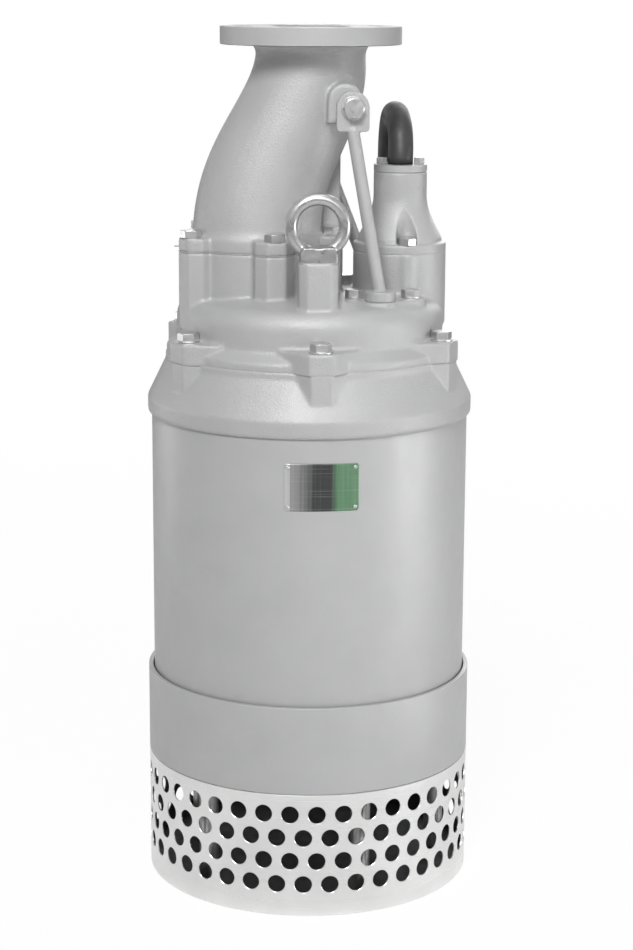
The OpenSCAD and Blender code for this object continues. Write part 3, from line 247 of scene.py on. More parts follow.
def machined(node, edge, look=None, name=None, work=None, steps=2):
    # a turned, rolled or cut part: the solid with a small round on each sharp edge
    work = work or solidCopy(node)
    bmesh.ops.dissolve_limit(work, angle_limit=solids["flat"], verts=work.verts, edges=work.edges)
    for face in work.faces:
        face.smooth = True
    piece = workPiece(name or camel(node), work)
    bevel = piece.modifiers.new("edges", "BEVEL")
    bevel.width = edge
    bevel.segments = steps
    bevel.limit_method = "ANGLE"
    bevel.angle_limit = solids["sharp"]
    bevel.miter_outer = "MITER_ARC"
    shade = piece.modifiers.new("shade", "WEIGHTED_NORMAL")
    shade.keep_sharp = True
    return settle(freeze(piece), node, look)


def cast(node, grain, rounds, lids=(), seams=(), look=None, name=None, work=None):
    # a casting: the solid rebuilt on an even grid of cells, then relaxed so that every edge and
    # every inner corner takes the soft round of a sand mould. A flat face at a seam's height first
    # moves into its neighbour by what the relaxing takes off its edge, and a lid (centre, radius,
    # depth) closes an opening, so that the space of the sand core is left out
    work = work or solidCopy(node)
    for height, shift in seams:
        for vertex in work.verts:
            if abs(vertex.co.z - height) < solids["seamReach"]:
                vertex.co.z += shift
    for centre, radius, depth in lids:
        bmesh.ops.create_cone(work, cap_ends=True, segments=solids["lidSides"], radius1=radius,
                              radius2=radius, depth=depth, matrix=Matrix.Translation(centre))
    piece = workPiece(name or camel(node), work)
    cells = piece.modifiers.new("cells", "REMESH")
    cells.mode = "VOXEL"
    cells.voxel_size = grain
    relax = piece.modifiers.new("relax", "SMOOTH")
    relax.factor = solids["relax"]
    relax.iterations = rounds
    freeze(piece)
    piece.data.polygons.foreach_set("use_smooth", [True] * len(piece.data.polygons))
    piece.data.update()
    print(piece.name, len(piece.data.polygons), "faces")
    return settle(piece, node, look)


# Nodes of the materials

def newFinish(name):
    material = bpy.data.materials.new(name)
    material.use_nodes = True
    tree = material.node_tree
    return material, tree, tree.nodes["Principled BSDF"]


def feed(tree, node, inputs):
    # each named input takes a socket's link or a plain value
    for key, value in inputs.items():
        if isinstance(value, bpy.types.NodeSocket):
            tree.links.new(value, node.inputs[key])
        else:
            node.inputs[key].default_value = value


def addNode(tree, kind, inputs, **settings):
    node = tree.nodes.new(kind)
    for key, value in settings.items():
        setattr(node, key, value)
    feed(tree, node, inputs)
    return node


def place(tree, stretch=(1, 1, 1)):
    # the object's own coordinates, stretched
    spot = addNode(tree, "ShaderNodeTexCoord", {}).outputs["Object"]
    return addNode(tree, "ShaderNodeMapping", {"Vector": spot, "Scale": stretch}).outputs["Vector"]


def noise(tree, scale, detail=3, roughness=0.5, stretch=(1, 1, 1)):
    # cloudy noise, or lines where one axis is stretched
    return addNode(tree, "ShaderNodeTexNoise", {"Vector": place(tree, stretch), "Scale": scale,
                                                "Detail": detail, "Roughness": roughness}).outputs["Fac"]


def span(tree, value, low, high, start=0.3, end=0.7):
    # the value stretched from start..end to low..high
    return addNode(tree, "ShaderNodeMapRange", {"Value": value, "From Min": start, "From Max": end,
                                                "To Min": low, "To Max": high}).outputs["Result"]


def combine(tree, operation, first, second):
    return addNode(tree, "ShaderNodeMath", {0: first, 1: second}, operation=operation).outputs[0]


def blend(tree, share, first, second):
    # from the first colour or socket to the second
    ends = {key: end if isinstance(end, bpy.types.NodeSocket) else (*end, 1)
            for key, end in (("A", first), ("B", second))}
    return addNode(tree, "ShaderNodeMix", {"Factor": share, **ends}, data_type="RGBA").outputs["Result"]


def bump(tree, height, strength, depth, base=None):
    under = {} if base is None else {"Normal": base}
    return addNode(tree, "ShaderNodeBump", {"Height": height, "Strength": strength, "Distance": depth,
                                            **under}).outputs["Normal"]


# Finishes: a noise is given as (scale, detail, roughness, stretch), a relief as (noise, strength, depth)

def grainFinish(name, low, high, tone, gloss, shine, reliefs, inputs):
    # colour drifts from low to high with the tone's noise and roughness across shine with that of the
    # gloss; each relief is a bump on top of the one before
    material, tree, shader = newFinish(name)
    normal = None
    for marks, strength, depth in reliefs:
        normal = bump(tree, noise(tree, *marks), strength, depth, normal)
    feed(tree, shader, {"Base Color": blend(tree, span(tree, noise(tree, *tone), 0, 1), low, high),
                        "Roughness": span(tree, noise(tree, *gloss), *shine), "Normal": normal, **inputs})
    return material


paint = {"low": (0.440, 0.441, 0.443), "high": (0.468, 0.469, 0.471), "tone": (22, 5, 0.6),
         "gloss": (60, 4), "less": 0.05, "more": 0.06, "sand": (700, 3, 0.6), "sandDepth": 0.0009,
         "peel": (1500, 2), "peelDepth": 0.0002,
         "inputs": {"Metallic": 0.14, "Coat Weight": 0.10, "Coat Roughness": 0.25}}


def paintFinish(name, peel, sand, rough):
    # silver-grey paint: slow drift of tone, sand grain of the casting below it, and orange peel
    return grainFinish(name, paint["low"], paint["high"], paint["tone"], paint["gloss"],
                       (rough - paint["less"], rough + paint["more"]),
                       [(paint["sand"], sand, paint["sandDepth"]), (paint["peel"], peel, paint["peelDepth"])],
                       paint["inputs"])


steel = {"tone": (90, 3), "less": 0.06, "more": 0.10, "depth": 0.0001, "inputs": {"Metallic": 1}}


def steelFinish(name, low, high, rough, stretch=(500, 500, 500), strength=0.08):
    # bright or ground steel with small scratches and a faint change of tone
    marks = (1, 4, 0.6, stretch)
    return grainFinish(name, low, high, steel["tone"], marks, (rough - steel["less"], rough + steel["more"]),
                       [(marks, strength, steel["depth"])], steel["inputs"])


sheet = {"low": (0.79, 0.79, 0.785), "high": (0.85, 0.85, 0.845), "tone": (25, 4),
         "lines": (1, 3, 0.6, (3, 3, 900)), "shine": (0.26, 0.34), "strength": 0.015, "depth": 0.0001,
         "inputs": {"Metallic": 1}}


def sheetFinish(name):
    # bright rolled stainless sheet: fine lines that run round it, and soft cloudy marks
    return grainFinish(name, sheet["low"], sheet["high"], sheet["tone"], sheet["lines"], sheet["shine"],
                       [(sheet["lines"], sheet["strength"], sheet["depth"])], sheet["inputs"])


rubber = {"tone": (45, 5, 0.65), "gloss": (160, 3), "less": 0.07, "more": 0.09,
          "skin": ((1400, 3), 0.15, 0.0002)}


def rubberFinish(name, low, high, rough):
    # black rubber: dusty tone, fine matt skin
    return grainFinish(name, low, high, rubber["tone"], rubber["gloss"],
                       (rough - rubber["less"], rough + rubber["more"]), [rubber["skin"]], {})


plastic = {"tone": (70, 4), "gloss": (200, 3), "less": 0.05, "more": 0.07,
           "skin": ((900, 2), 0.12, 0.0002)}


def plasticFinish(name, low, high, rough):
    return grainFinish(name, low, high, plastic["tone"], plastic["gloss"],
                       (rough - plastic["less"], rough + plastic["more"]), [plastic["skin"]], {})


iron = {"low": (0.045, 0.047, 0.05), "high": (0.085, 0.087, 0.09), "tone": (30, 5, 0.6), "gloss": (120, 3),
        "shine": (0.5, 0.7), "skin": ((380, 4, 0.65), 0.35, 0.0006), "inputs": {"Metallic": 0.3}}


def ironFinish(name):
    # dark primer over rough cast iron
    return grainFinish(name, iron["low"], iron["high"], iron["tone"], iron["gloss"], iron["shine"],
                       [iron["skin"]], iron["inputs"])


def bandFinish(name, low, high, scale, waver, strength, depth, metal, rough):
    # level bands up the piece: the turns of a varnished winding, or stacked sheets seen on edge
    material, tree, shader = newFinish(name)
    bands = addNode(tree, "ShaderNodeTexWave", {"Vector": place(tree), "Scale": scale, "Distortion": waver},
                    bands_direction="Z").outputs["Fac"]
    feed(tree, shader, {"Base Color": blend(tree, bands, low, high), "Metallic": metal, "Roughness": rough,
                        "Normal": bump(tree, bands, strength, depth)})
    return material


looks = {
    "painted_casting": (paintFinish, {"peel": 0.35, "sand": 0.70, "rough": 0.37}),
    "painted_tube": (paintFinish, {"peel": 0.35, "sand": 0.10, "rough": 0.46}),
    "painted_flange": (paintFinish, {"peel": 0.30, "sand": 0.15, "rough": 0.62}),
    "inner_casting": (ironFinish, {}),
    "stainless_sheet": (sheetFinish, {}),
    "fastener_steel": (steelFinish, {"low": (0.56, 0.56, 0.56), "high": (0.69, 0.69, 0.685), "rough": 0.33}),
    "eye_steel": (steelFinish, {"low": (0.50, 0.50, 0.50), "high": (0.58, 0.58, 0.58), "rough": 0.30,
                                "stretch": (160, 160, 160), "strength": 0.03}),
    "shaft_steel": (steelFinish, {"low": (0.45, 0.46, 0.47), "high": (0.60, 0.61, 0.62), "rough": 0.25,
                                  "stretch": (4, 4, 900)}),
    "bearing_steel": (steelFinish, {"low": (0.60, 0.61, 0.62), "high": (0.72, 0.73, 0.74), "rough": 0.12}),
    "cast_aluminium": (steelFinish, {"low": (0.62, 0.62, 0.63), "high": (0.76, 0.76, 0.77), "rough": 0.42}),
    "lamination": (bandFinish, {"low": (0.16, 0.165, 0.17), "high": (0.30, 0.305, 0.31), "scale": 160,
                                "waver": 0.2, "strength": 0.3, "depth": 0.0003, "metal": 0.9, "rough": 0.45}),
    "winding_copper": (bandFinish, {"low": (0.30, 0.10, 0.04), "high": (0.62, 0.29, 0.13), "scale": 180,
                                    "waver": 1.5, "strength": 0.4, "depth": 0.0006, "metal": 0.7,
                                    "rough": 0.35}),
    "seal_rubber": (rubberFinish, {"low": (0.012, 0.012, 0.012), "high": (0.030, 0.030, 0.030),
                                   "rough": 0.6}),
    "cable_rubber": (rubberFinish, {"low": (0.026, 0.026, 0.027), "high": (0.055, 0.055, 0.057),
                                    "rough": 0.46}),
    "seal_carbon": (plasticFinish, {"low": (0.02, 0.02, 0.022), "high": (0.05, 0.05, 0.052), "rough": 0.35}),
    "board_plastic": (plasticFinish, {"low": (0.16, 0.05, 0.02), "high": (0.24, 0.09, 0.04), "rough": 0.5}),
    "tie_plastic": (plasticFinish, {"low": (0.012, 0.012, 0.013), "high": (0.03, 0.03, 0.03), "rough": 0.5}),
}


def makeFinishes():
    for look, (make, values) in looks.items():
        finishes[look] = make(camel(look), **values)
    print("finishes made")


# Power cable: one length from the clamp ring, over the top and down the back to its coil

# route, rings and tail are in mm, coil angles in degrees, and layers are counted up from the floor
cable = {"radius": 0.013, "step": 0.006, "sides": 24, "exit": (0.093, 0, 0.752), "leanFrom": 0.75,
         "route": [(93, 0, 752), (93, 0, 757), (93.5, 3, 771), (93.5, 10, 785), (93, 23, 795),
                   (92.5, 37, 800), (92, 53, 800), (92, 68, 795), (92, 80, 785), (92, 88, 771),
                   (92, 91, 756), (92, 94, 730), (92.5, 98, 700), (94, 106, 665), (98, 117, 625),
                   (101, 129, 585), (103, 140, 548), (105, 151, 510), (105, 152, 470), (105, 152, 410),
                   (105, 152, 350), (105, 152, 290), (105, 152, 230), (105, 152, 170), (105, 152, 115),
                   (107, 156, 82), (113, 166, 55), (125, 186, 32), (143, 217, 18), (162, 250, 15),
                   (177, 277, 15)],
         "coilCentre": (0.028, 0.370, 0), "coilStart": -32, "floorLift": 0.015,
         "rings": [169, 143, 117, 130, 156, 169, 143, 117, 130, 156],
         "layers": [0, 0, 0, 1, 1, 2, 2, 2, 3, 3], "layerStep": 0.0225, "shift": 0.07, "soften": 0.03,
         "softenSteps": 9, "coilSteps": 2400,
         "tailFrom": 40, "tailTo": 95, "tailRadius": 143, "tailLevel": 0.1085, "strapEdge": 0.0004,
         "endSteps": 3}


def coilLine():
    # angle runs evenly; radius and height change from one turn's value to the next over a short stretch
    turns = len(cable["rings"])
    centre = np.array(cable["coilCentre"])
    meeting = np.array(cable["route"][-1]) / 1000
    knots = np.array([[k + cable["shift"], k + 1 - cable["shift"]] for k in range(turns)]).ravel()
    rings = np.repeat(np.array(cable["rings"]) / 1000, 2)
    levels = np.repeat(np.array(cable["layers"]), 2) * cable["layerStep"] + cable["floorLift"]
    tail = np.array([cable["tailFrom"], cable["tailTo"]]) - cable["coilStart"]
    knots = np.concatenate([[0], knots, turns + tail / 360])
    first = math.hypot(*(meeting - centre)[:2])
    rings = np.concatenate([[first], rings, [cable["tailRadius"] / 1000] * 2])
    levels = np.concatenate([[cable["floorLift"]], levels, [cable["tailLevel"]] * 2])
    run = np.linspace(0, knots[-1], cable["coilSteps"])
    angle = np.radians(cable["coilStart"] + 360 * run)
    near = run + np.linspace(-cable["soften"], cable["soften"], cable["softenSteps"])[:, None]
    radius = np.interp(near, knots, rings).mean(0)
    level = np.interp(near, knots, levels).mean(0)
    return roundWall(radius, angle, level) + centre


def makeCable():
    # rings round the line; their first axis turns from across the drop to straight down on the coil
    free = curveThrough(np.array(cable["route"]) / 1000, cable["step"])
    line = evenly(np.concatenate([free[:-1], coilLine()]), cable["step"])
    along = np.gradient(line, axis=0)
    turning = (1 - cable["leanFrom"]) * len(free)
    share = np.clip((np.arange(len(line)) - cable["leanFrom"] * len(free)) / turning, 0, 1)[:, None]
    down = np.array([0, 0, -cable["step"]])
    lean = np.cross(along, np.array([1.0, 0, 0])) * (1 - share) + down * share
    points = tubeAlong(line, cable["radius"], cable["sides"], lean)
    piece = addPiece("powerCable", points, cappedFaces(len(line), cable["sides"]))
    settle(piece, "power_cable", alsoFor=("cable_coil", "cable_tail", "cable_entry"))
    cores = makeCores(line[-1], line[-1] - line[-1 - cable["endSteps"]])
    ties = machined("coil_ties", cable["strapEdge"], name="coilStraps")


core = {"count": 4, "radius": 0.003, "length": 0.046, "apart": 0.007, "rows": 14, "sides": 12,
        "inside": 0.001, "lift": 0.0002, "tongue": 0.012, "eye": 0.006, "hole": 0.0032, "sheet": 0.0014,
        "eyeSides": 24, "eyeDrop": 0.001}


def makeCores(end, ahead):
    # four cores side by side out of the sheath's end that spread and sink along t * t * (3 - 2 * t),
    # each with a flat ring terminal
    ahead = ahead / np.linalg.norm(ahead)
    across = np.cross(ahead, (0, 0, 1))
    across /= np.linalg.norm(across)
    up = np.array([0, 0, 1.0])
    floor = -cable["radius"] + core["radius"] + core["lift"]
    t = np.linspace(0, 1, core["rows"])[:, None]
    swing = t * t * (3 - 2 * t)
    turn = np.linspace(0, 2 * np.pi, core["eyeSides"], endpoint=False)[:, None]
    circle = np.cos(turn) * ahead + np.sin(turn) * across
    points, faces = [], []
    for k in range(core["count"]):
        offset = (k - (core["count"] - 1) / 2) * core["apart"]
        line = (end + ahead * (core["length"] * t - core["inside"]) + across * (offset * (1 + swing) / 2)
                + up * (floor * swing))
        faces += cappedFaces(core["rows"], core["sides"], len(points))
        points += list(tubeAlong(line, core["radius"], core["sides"], np.broadcast_to(up, line.shape)))
        centre = (end + ahead * (core["length"] + core["tongue"]) + across * offset
                  + up * (floor - core["eyeDrop"]))
        faces += list(gridFaces(4, core["eyeSides"], True, True, len(points)))
        for radius, lift in ((core["eye"], 0), (core["eye"], core["sheet"]),
                             (core["hole"], core["sheet"]), (core["hole"], 0)):
            points += list(centre + radius * circle + up * lift)
    piece = outward(addPiece("cableCores", points, faces))
    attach(piece, bodyOf["cable_tail"])
    piece.data.materials.append(finishes["cable_rubber"])
    return piece


# Casing: the tube and its sleeve, whose foot has a larger round that shows as a seam

casing = {"edge": 0.0009, "seamEdge": 0.0020}


def makeCasing():
    # a ring of four corners, each rounded, carried round the axis
    for node, name, footEdge in (("outer_casing", "casingTube", casing["edge"]),
                                 ("casing_sleeve", "casingSleeve", casing["seamEdge"])):
        inner, outer, foot, top = ringOf(node)
        outline = roundCorners([(inner, foot), (outer, foot), (outer, top), (inner, top)],
                               [casing["edge"], footEdge, casing["edge"], casing["edge"]])
        settle(lathe(name, outline), node)
    print("casing made")


# Strainer: each hole is a patch whose inner edge is the hole and whose outer edge is its cell

strainer = {"columns": 39, "rows": 4, "firstRow": 0.0339, "pitch": 0.025, "hole": 0.009,
            "turn": math.radians(-91.15), "lip": 0.0004, "ease": 1.12, "around": 32, "bandSteps": 8,
            "merge": 1e-5, "sharp": math.radians(30), "innerReach": 0.0001}


def holePatch(inner, outer):
    # angle, height and radius of rings of points: cell edge, lip, wall of the hole, lip, cell edge
    s = strainer
    turn = np.linspace(0, 2 * np.pi, s["around"], endpoint=False)
    box = np.maximum(np.abs(np.cos(turn)), np.abs(np.sin(turn)))
    cellU, cellV = np.cos(turn) / box * math.pi / s["columns"], np.sin(turn) / box * s["pitch"] / 2
    holeU, holeV = np.cos(turn) * s["hole"] / outer, np.sin(turn) * s["hole"]
    grow = 1 + s["lip"] / s["hole"]
    wide = grow * s["ease"]
    rings = [(cellU, cellV, outer), (holeU * wide, holeV * wide, outer), (holeU * grow, holeV * grow, outer),
             (holeU, holeV, outer - s["lip"]), (holeU, holeV, inner + s["lip"]),
             (holeU * grow, holeV * grow, inner), (cellU, cellV, inner)]
    return [np.stack([np.broadcast_to(ring[i], turn.shape) for ring in rings]) for i in range(3)]


def plainBands(inner, outer, foot, top):
    # outlines of the plain strips below and above the holes, each rounded at its free edge
    s = strainer
    low = s["firstRow"] - s["pitch"] / 2
    high = s["firstRow"] + (s["rows"] - 0.5) * s["pitch"]
    lip = s["lip"]
    return [np.array([(inner, low), (inner, foot + lip), (inner + lip, foot), (outer - lip, foot),
                      (outer, foot + lip), (outer, low)]),
            np.array([(outer, high), (outer, top - lip), (outer - lip, top), (inner + lip, top),
                      (inner, top - lip), (inner, high)])]


def makeStrainer():
    # the patch repeated in staggered rows between two plain strips, merged where they meet
    s = strainer
    inner, outer, foot, top = ringOf("strainer")
    patchU, patchV, patchR = holePatch(inner, outer)
    cell = 2 * math.pi / s["columns"]
    points, faces, start = [], [], 0
    for row in range(s["rows"]):
        shift = s["turn"] + (s["rows"] - 1 - row) % 2 * cell / 2
        for column in range(s["columns"]):
            height = patchV + s["firstRow"] + row * s["pitch"]
            points.append(roundWall(patchR, patchU + shift + column * cell, height))
            faces.append(gridFaces(*patchR.shape, False, True, start))
            start += patchR.size
    steps = s["columns"] * s["bandSteps"]
    angle = s["turn"] + np.arange(steps)[None] * 2 * np.pi / steps
    for band in plainBands(inner, outer, foot, top):
        points.append(roundWall(band[:, :1], angle, band[:, 1:]))
        faces.append(gridFaces(len(band), steps, False, True, start))
        start += len(band) * steps
    piece = addPiece("strainerSheet", np.concatenate(points), np.concatenate(faces))
    work = bmesh.new()
    work.from_mesh(piece.data)
    bmesh.ops.remove_doubles(work, verts=work.verts, dist=s["merge"])
    bmesh.ops.recalc_face_normals(work, faces=work.faces)
    for edge in work.edges:
        edge.smooth = len(edge.link_faces) != 2 or edge.calc_face_angle(0) < s["sharp"]
    work.to_mesh(piece.data)
    work.free()
    settle(piece, "strainer")
    # painted shade: the inside of the stainless sheet takes the dark cast-iron finish, so that the holes look
    # dark
    piece.data.materials.append(finishes["inner_casting"])
    middles = np.empty(3 * len(piece.data.polygons))
    piece.data.polygons.foreach_get("center", middles)
    reach = np.hypot(middles[0::3], middles[1::3])
    piece.data.polygons.foreach_set("material_index", (reach < inner + s["innerReach"]).astype(int))
    print("strainer made")


# Castings: size of the cells, rounds of relaxing, lids and seams

castings = {
    "casing_cone": {"grain": 0.0017, "rounds": 5, "seams": [(topOf("casing_cone"), 0.0010)]},
    "head_cover": {"grain": 0.00185, "rounds": 4,
                   "lids": [((0, 0, 0.5625), 0.134, 0.006), ((-0.0547, 0, 0.6175), 0.060, 0.008),
                            ((0.093, 0, 0.6575), 0.036, 0.011)],
                   "seams": [(footOf("head_cover"), -0.0012), (topOf("head_cover"), 0.0008),
                             (footOf("gland_cap"), 0.0008)]},
    "gland_cap": {"grain": 0.0011, "rounds": 6, "seams": [(footOf("gland_cap"), -0.0007)]},
    "front_stay": {"grain": 0.0010, "rounds": 3},
    "rear_stay": {"grain": 0.0010, "rounds": 3},
    "front_eyebolt": {"grain": 0.0010, "rounds": 5, "look": "eye_steel"},
    "rear_eyebolt": {"grain": 0.0010, "rounds": 5, "look": "eye_steel"},
}


def makeCastings():
    for node, values in castings.items():
        cast(node, **values)
    print("castings made")


# Discharge elbow: a cast body, and its flange turned and drilled; the two overlap inside the flange

elbow = {"grain": 0.0018, "rounds": 6, "footShift": -0.0010, "bodyBelowTop": 0.0165,
         "flangeBelowTop": 0.0175, "flangeEdge": 0.0012, "flangeSteps": 3, "cutReach": 1e-7}


def cutAt(work, height, keepAbove):
    # the part of a solid above or below a level, closed with a flat cap
    bmesh.ops.bisect_plane(work, geom=work.verts[:] + work.edges[:] + work.faces[:],
                           dist=elbow["cutReach"], plane_co=(0, 0, height), plane_no=(0, 0, 1),
                           clear_inner=keepAbove, clear_outer=not keepAbove)
    edges = [edge for edge in work.edges if len(edge.link_faces) == 1]
    bmesh.ops.triangle_fill(work, use_beauty=True, use_dissolve=False, edges=edges)
    return work


def makeElbow():
    node = "discharge_elbow"
    top = topOf(node)
    cast(node, elbow["grain"], elbow["rounds"], seams=[(footOf(node), elbow["footShift"])],
         name="elbowBody", work=cutAt(solidCopy(node), top - elbow["bodyBelowTop"], False))
    machined(node, elbow["flangeEdge"], look="painted_flange", name="elbowFlange",
             work=cutAt(solidCopy(node), top - elbow["flangeBelowTop"], True), steps=elbow["flangeSteps"])
    print("elbow made")


# Nameplate: a bare two-colour plate bent to the casing, its left part framed by a thin raised line

plate = {"standOff": 0.0001, "width": 0.075, "corner": 0.003, "thick": 0.0007, "behind": 0.0002,
         "rim": 0.0022, "slope": 0.0006, "edge": 0.35, "sink": 0.45, "line": 0.3, "columns": 120, "rows": 76,
         "frame": (-0.0282, 0.0100, -0.0166, 0.0166), "rivetEdge": 0.0003, "rivetSteps": 3}
# the light and dark metal colours, their span and the streak share are a painted reflection across the bare
# metal
plateLook = {"streaks": (1, 4, 0.6, (420, 1, 6)), "rules": (1, 3, 0.6, (12, 1, 900)),
             "strip": (0.52, 0.52, 0.52), "stripFrom": -0.0315, "stripTo": -0.0310,
             "light": (0.33, 0.33, 0.33), "dark": (0.050, 0.051, 0.053), "paintedReflectionFrom": -0.030, "darkTo": -0.006,
             "reflectionStreakShare": 0.16, "greenLow": (0.105, 0.235, 0.125), "greenHigh": (0.17, 0.30, 0.19),
             "greenFrom": 0.0095, "greenTo": 0.0165, "greenStray": 0.002, "rule": (0.42, 0.43, 0.42),
             "ruleShare": 0.4, "ruleStrength": 0.15, "ruleDepth": 0.0002, "streakSpan": (0.35, 0.7),
             "ruleSpan": (0.55, 0.75), "shine": (0.30, 0.45), "metal": 0.45}


def plateFinish(name):
    # bright strip; brushed metal, darkened rightwards in streaks by a painted reflection; green paint; ruled
    # lines cross them
    look = plateLook
    material, tree, shader = newFinish(name)
    spot = addNode(tree, "ShaderNodeTexCoord", {}).outputs["Object"]
    x = addNode(tree, "ShaderNodeSeparateXYZ", {"Vector": spot}).outputs["X"]
    streaks = noise(tree, *look["streaks"])
    rules = noise(tree, *look["rules"])
    # painted reflection: the bare metal darkens towards the right, broken by vertical streaks
    dark = combine(tree, "ADD", span(tree, x, 0, 1, look["paintedReflectionFrom"], look["darkTo"]),
                   span(tree, streaks, -look["reflectionStreakShare"], look["reflectionStreakShare"]))
    colour = blend(tree, dark, look["light"], look["dark"])
    colour = blend(tree, span(tree, x, 1, 0, look["stripFrom"], look["stripTo"]), colour, look["strip"])
    green = blend(tree, span(tree, streaks, 0, 1, *look["streakSpan"]), look["greenLow"], look["greenHigh"])
    side = combine(tree, "ADD", x, span(tree, streaks, -look["greenStray"], look["greenStray"]))
    colour = blend(tree, span(tree, side, 0, 1, look["greenFrom"], look["greenTo"]), colour, green)
    colour = blend(tree, span(tree, rules, 0, look["ruleShare"], *look["ruleSpan"]), colour, look["rule"])
    feed(tree, shader, {"Base Color": colour, "Roughness": span(tree, streaks, *look["shine"]),
                        "Metallic": look["metal"],
                        "Normal": bump(tree, rules, look["ruleStrength"], look["ruleDepth"])})
    return material


def makeNameplate():
    # height over the tube follows the distance to the edge: rounded rim, then a sunk field with a
    # thin raised frame line on its left part; the plate's corners are round
    p = plate
    radius = ringOf("outer_casing")[1] + p["standOff"]
    foot, top = footOf("nameplate"), topOf("nameplate")
    halfX, halfZ = p["width"] / 2, (top - foot) / 2
    x, z = np.meshgrid(np.linspace(-halfX, halfX, p["columns"]), np.linspace(-halfZ, halfZ, p["rows"]))
    cornerX = np.maximum(np.abs(x) - (halfX - p["corner"]), 0)
    cornerZ = np.maximum(np.abs(z) - (halfZ - p["corner"]), 0)
    reach = np.hypot(cornerX, cornerZ)
    pull = p["corner"] / np.maximum(reach, p["corner"])
    past = reach > p["corner"]
    x = np.where(past, np.sign(x) * (halfX - p["corner"] + cornerX * pull), x)
    z = np.where(past, np.sign(z) * (halfZ - p["corner"] + cornerZ * pull), z)
    edge = np.minimum(np.minimum(halfX - np.abs(x), halfZ - np.abs(z)),
                      p["corner"] - np.minimum(reach, p["corner"]))
    lift = (p["edge"] + (1 - p["edge"]) * np.clip(edge / p["slope"], 0, 1)
            - p["sink"] * np.clip((edge - p["rim"]) / p["slope"], 0, 1))
    left, right, low, high = p["frame"]
    away = np.maximum(np.maximum(left - x, x - right), np.maximum(low - z, z - high))
    lift = p["thick"] * (lift + p["line"] * np.clip(1 - np.abs(away) / p["slope"], 0, 1))
    angle = x / radius - math.pi / 2
    level = (foot + top) / 2 + z
    layers = [roundWall(radius + lift, angle, level), roundWall(radius - p["behind"], angle, level)]
    rows, columns = p["rows"], p["columns"]
    border = np.concatenate([np.arange(columns), np.arange(1, rows) * columns + columns - 1,
                             (rows - 1) * columns + np.arange(columns - 2, -1, -1),
                             np.arange(rows - 2, 0, -1) * columns])
    after = np.roll(border, -1)
    faces = [gridFaces(rows, columns, False, False),
             gridFaces(rows, columns, False, False, rows * columns)[:, ::-1],
             np.stack([border, border + rows * columns, after + rows * columns, after], -1)]
    piece = outward(addPiece("namePlate", np.concatenate(layers), np.concatenate(faces)))
    finishes[slotOf["nameplate"]] = plateFinish("plateMetal")
    settle(piece, "nameplate")
    machined("nameplate_rivets", p["rivetEdge"], name="plateRivets", steps=p["rivetSteps"])
    print("nameplate made")


# Small parts: the width of the round on their edges, and a look where it isn't that of their slot

smallParts = {
    "head_cover_bolts": {"edge": 0.0005}, "elbow_bolts": {"edge": 0.0005}, "stay_bolts": {"edge": 0.0005},
    "stay_washers": {"edge": 0.0004}, "gland_cap_bolts": {"edge": 0.0005}, "housing_bolts": {"edge": 0.0004},
    "gland_clamp_ring": {"edge": 0.0004}, "gland_clamp_bolts": {"edge": 0.0006},
    "base_screws": {"edge": 0.0003}, "stay_bars": {"edge": 0.0008}, "suction_cover": {"edge": 0.0010},
    "suction_cover_bolts": {"edge": 0.0005}, "base_plate": {"edge": 0.0006, "look": "inner_casting"},
    "elbow_gasket": {"edge": 0.0002, "look": "painted_casting"},
}


def makeSmallParts():
    for node, values in smallParts.items():
        machined(node, **values)
    print("small parts made")


def dressInnerNodes():
    # every solid that is kept as it is takes the finish of its slot
    for node, solid in frame["nodes"].items():
        solid.data.materials.clear()
        solid.data.materials.append(finishes[slotOf[node]])
    print("inner nodes dressed")


# Surroundings

studio = {"worldLight": 0.15, "worldShine": 0.58, "floor": 0.93, "floorRough": 0.9, "floorShow": 0.95,
          "floorReach": 40, "floorDrop": 0.0005, "fadeFrom": 0.7, "fadeTo": 2.5}


def makeWorld():
    # white for the camera and through glass, duller in reflections, and a soft light from all sides
    world = bpy.data.worlds.new("studio")
    bpy.context.scene.world = world
    world.use_nodes = True
    tree = world.node_tree
    ray = addNode(tree, "ShaderNodeLightPath", {}).outputs
    seen = combine(tree, "MAXIMUM", ray["Is Camera Ray"], ray["Is Transmission Ray"])
    gloss = combine(tree, "MULTIPLY", ray["Is Glossy Ray"], studio["worldShine"])
    seen = combine(tree, "MAXIMUM", seen, gloss)
    feed(tree, tree.nodes["Background"], {"Color": (1, 1, 1, 1),
                                          "Strength": span(tree, seen, studio["worldLight"], 1, 0, 1)})


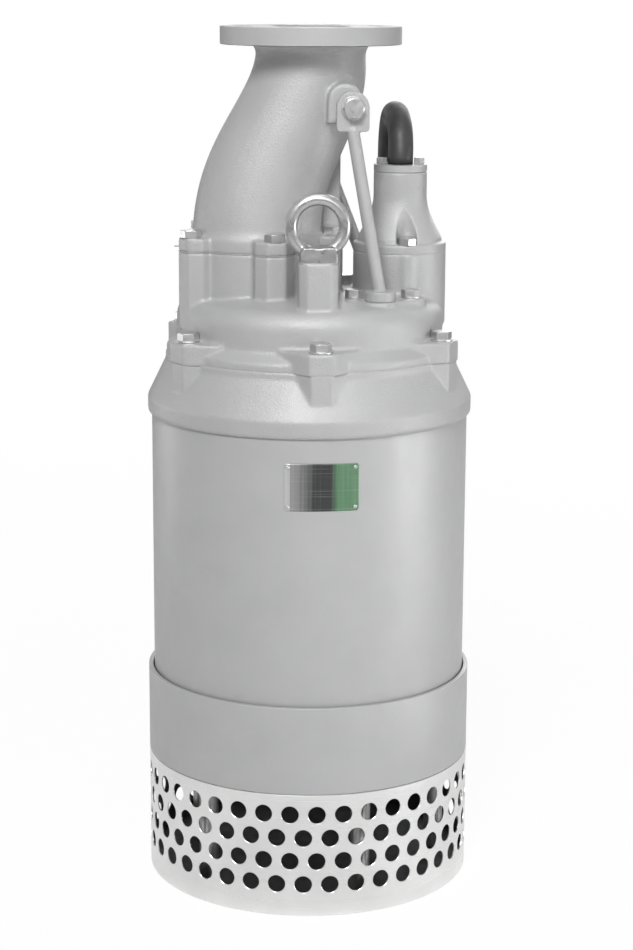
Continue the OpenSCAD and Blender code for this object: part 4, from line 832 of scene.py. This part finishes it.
def makeFloor():
    # pale floor that keeps the object's shadow; what the camera sees of it fades to white far away
    reach = studio["floorReach"]
    corners = [(-reach, -reach, 0), (reach, -reach, 0), (reach, reach, 0), (-reach, reach, 0)]
    floor = addPiece("floor", corners, [(0, 1, 2, 3)], False)
    floor.location.z = -studio["floorDrop"]
    material, tree, shader = newFinish("studioFloor")
    feed(tree, shader, {"Base Color": (studio["floor"],) * 3 + (1,), "Roughness": studio["floorRough"]})
    glow = addNode(tree, "ShaderNodeEmission", {"Color": (1, 1, 1, 1), "Strength": 1.0}).outputs["Emission"]
    spot = addNode(tree, "ShaderNodeTexCoord", {}).outputs["Object"]
    away = addNode(tree, "ShaderNodeVectorMath", {0: spot}, operation="LENGTH").outputs["Value"]
    white = span(tree, away, studio["floorShow"], 1, studio["fadeFrom"], studio["fadeTo"])
    ray = addNode(tree, "ShaderNodeLightPath", {}).outputs
    share = combine(tree, "MULTIPLY", ray["Is Camera Ray"], white)
    mix = addNode(tree, "ShaderNodeMixShader", {0: share, 1: shader.outputs["BSDF"], 2: glow})
    tree.links.new(mix.outputs["Shader"], tree.nodes["Material Output"].inputs["Surface"])
    floor.data.materials.append(material)


lamps = {
    "key": {"spot": (-0.45, -2.05, 2.35), "aim": (0, 0, 0.6), "size": 0.85, "power": 54, "spread": 180},
    "fill": {"spot": (0.8, -2.7, 1.8), "aim": (0, 0, 0.5), "size": 1.3, "power": 8, "spread": 180},
    "right": {"spot": (2.0, -0.6, 0.05), "aim": (0.1, 0, 0.08), "size": 1.4, "power": 2.5, "spread": 40},
    "left": {"spot": (-1.7, 1.2, 0.2), "aim": (0, 0, 0.15), "size": 1.0, "power": 0.6, "spread": 46},
    "top": {"spot": (0.1, -0.2, 2.6), "aim": (0, 0, 0.5), "size": 1.2, "power": 5, "spread": 180},
    "rear": {"spot": (0.9, 2.4, 1.7), "aim": (0, 0, 0.5), "size": 2.2, "power": 30, "spread": 180},
}


def makeLamps():
    # round soft lamps, each turned to what it lights
    for name, values in lamps.items():
        lamp = addObject(name, bpy.data.lights.new(name, "AREA"))
        lamp.data.shape = "DISK"
        lamp.data.size = values["size"]
        lamp.data.energy = values["power"]
        lamp.data.spread = math.radians(values["spread"])
        lamp.location = values["spot"]
        aim = Vector(values["aim"]) - Vector(values["spot"])
        lamp.rotation_euler = aim.to_track_quat("-Z", "Y").to_euler()


def makeStudio():
    makeWorld()
    makeFloor()
    makeLamps()
    bpy.context.scene.view_settings.view_transform = "Standard"
    print("studio made")


makeCamera()
makeFinishes()
makeCable()
makeCasing()
makeStrainer()
makeCastings()
makeElbow()
makeNameplate()
makeSmallParts()
dressInnerNodes()
makeStudio()
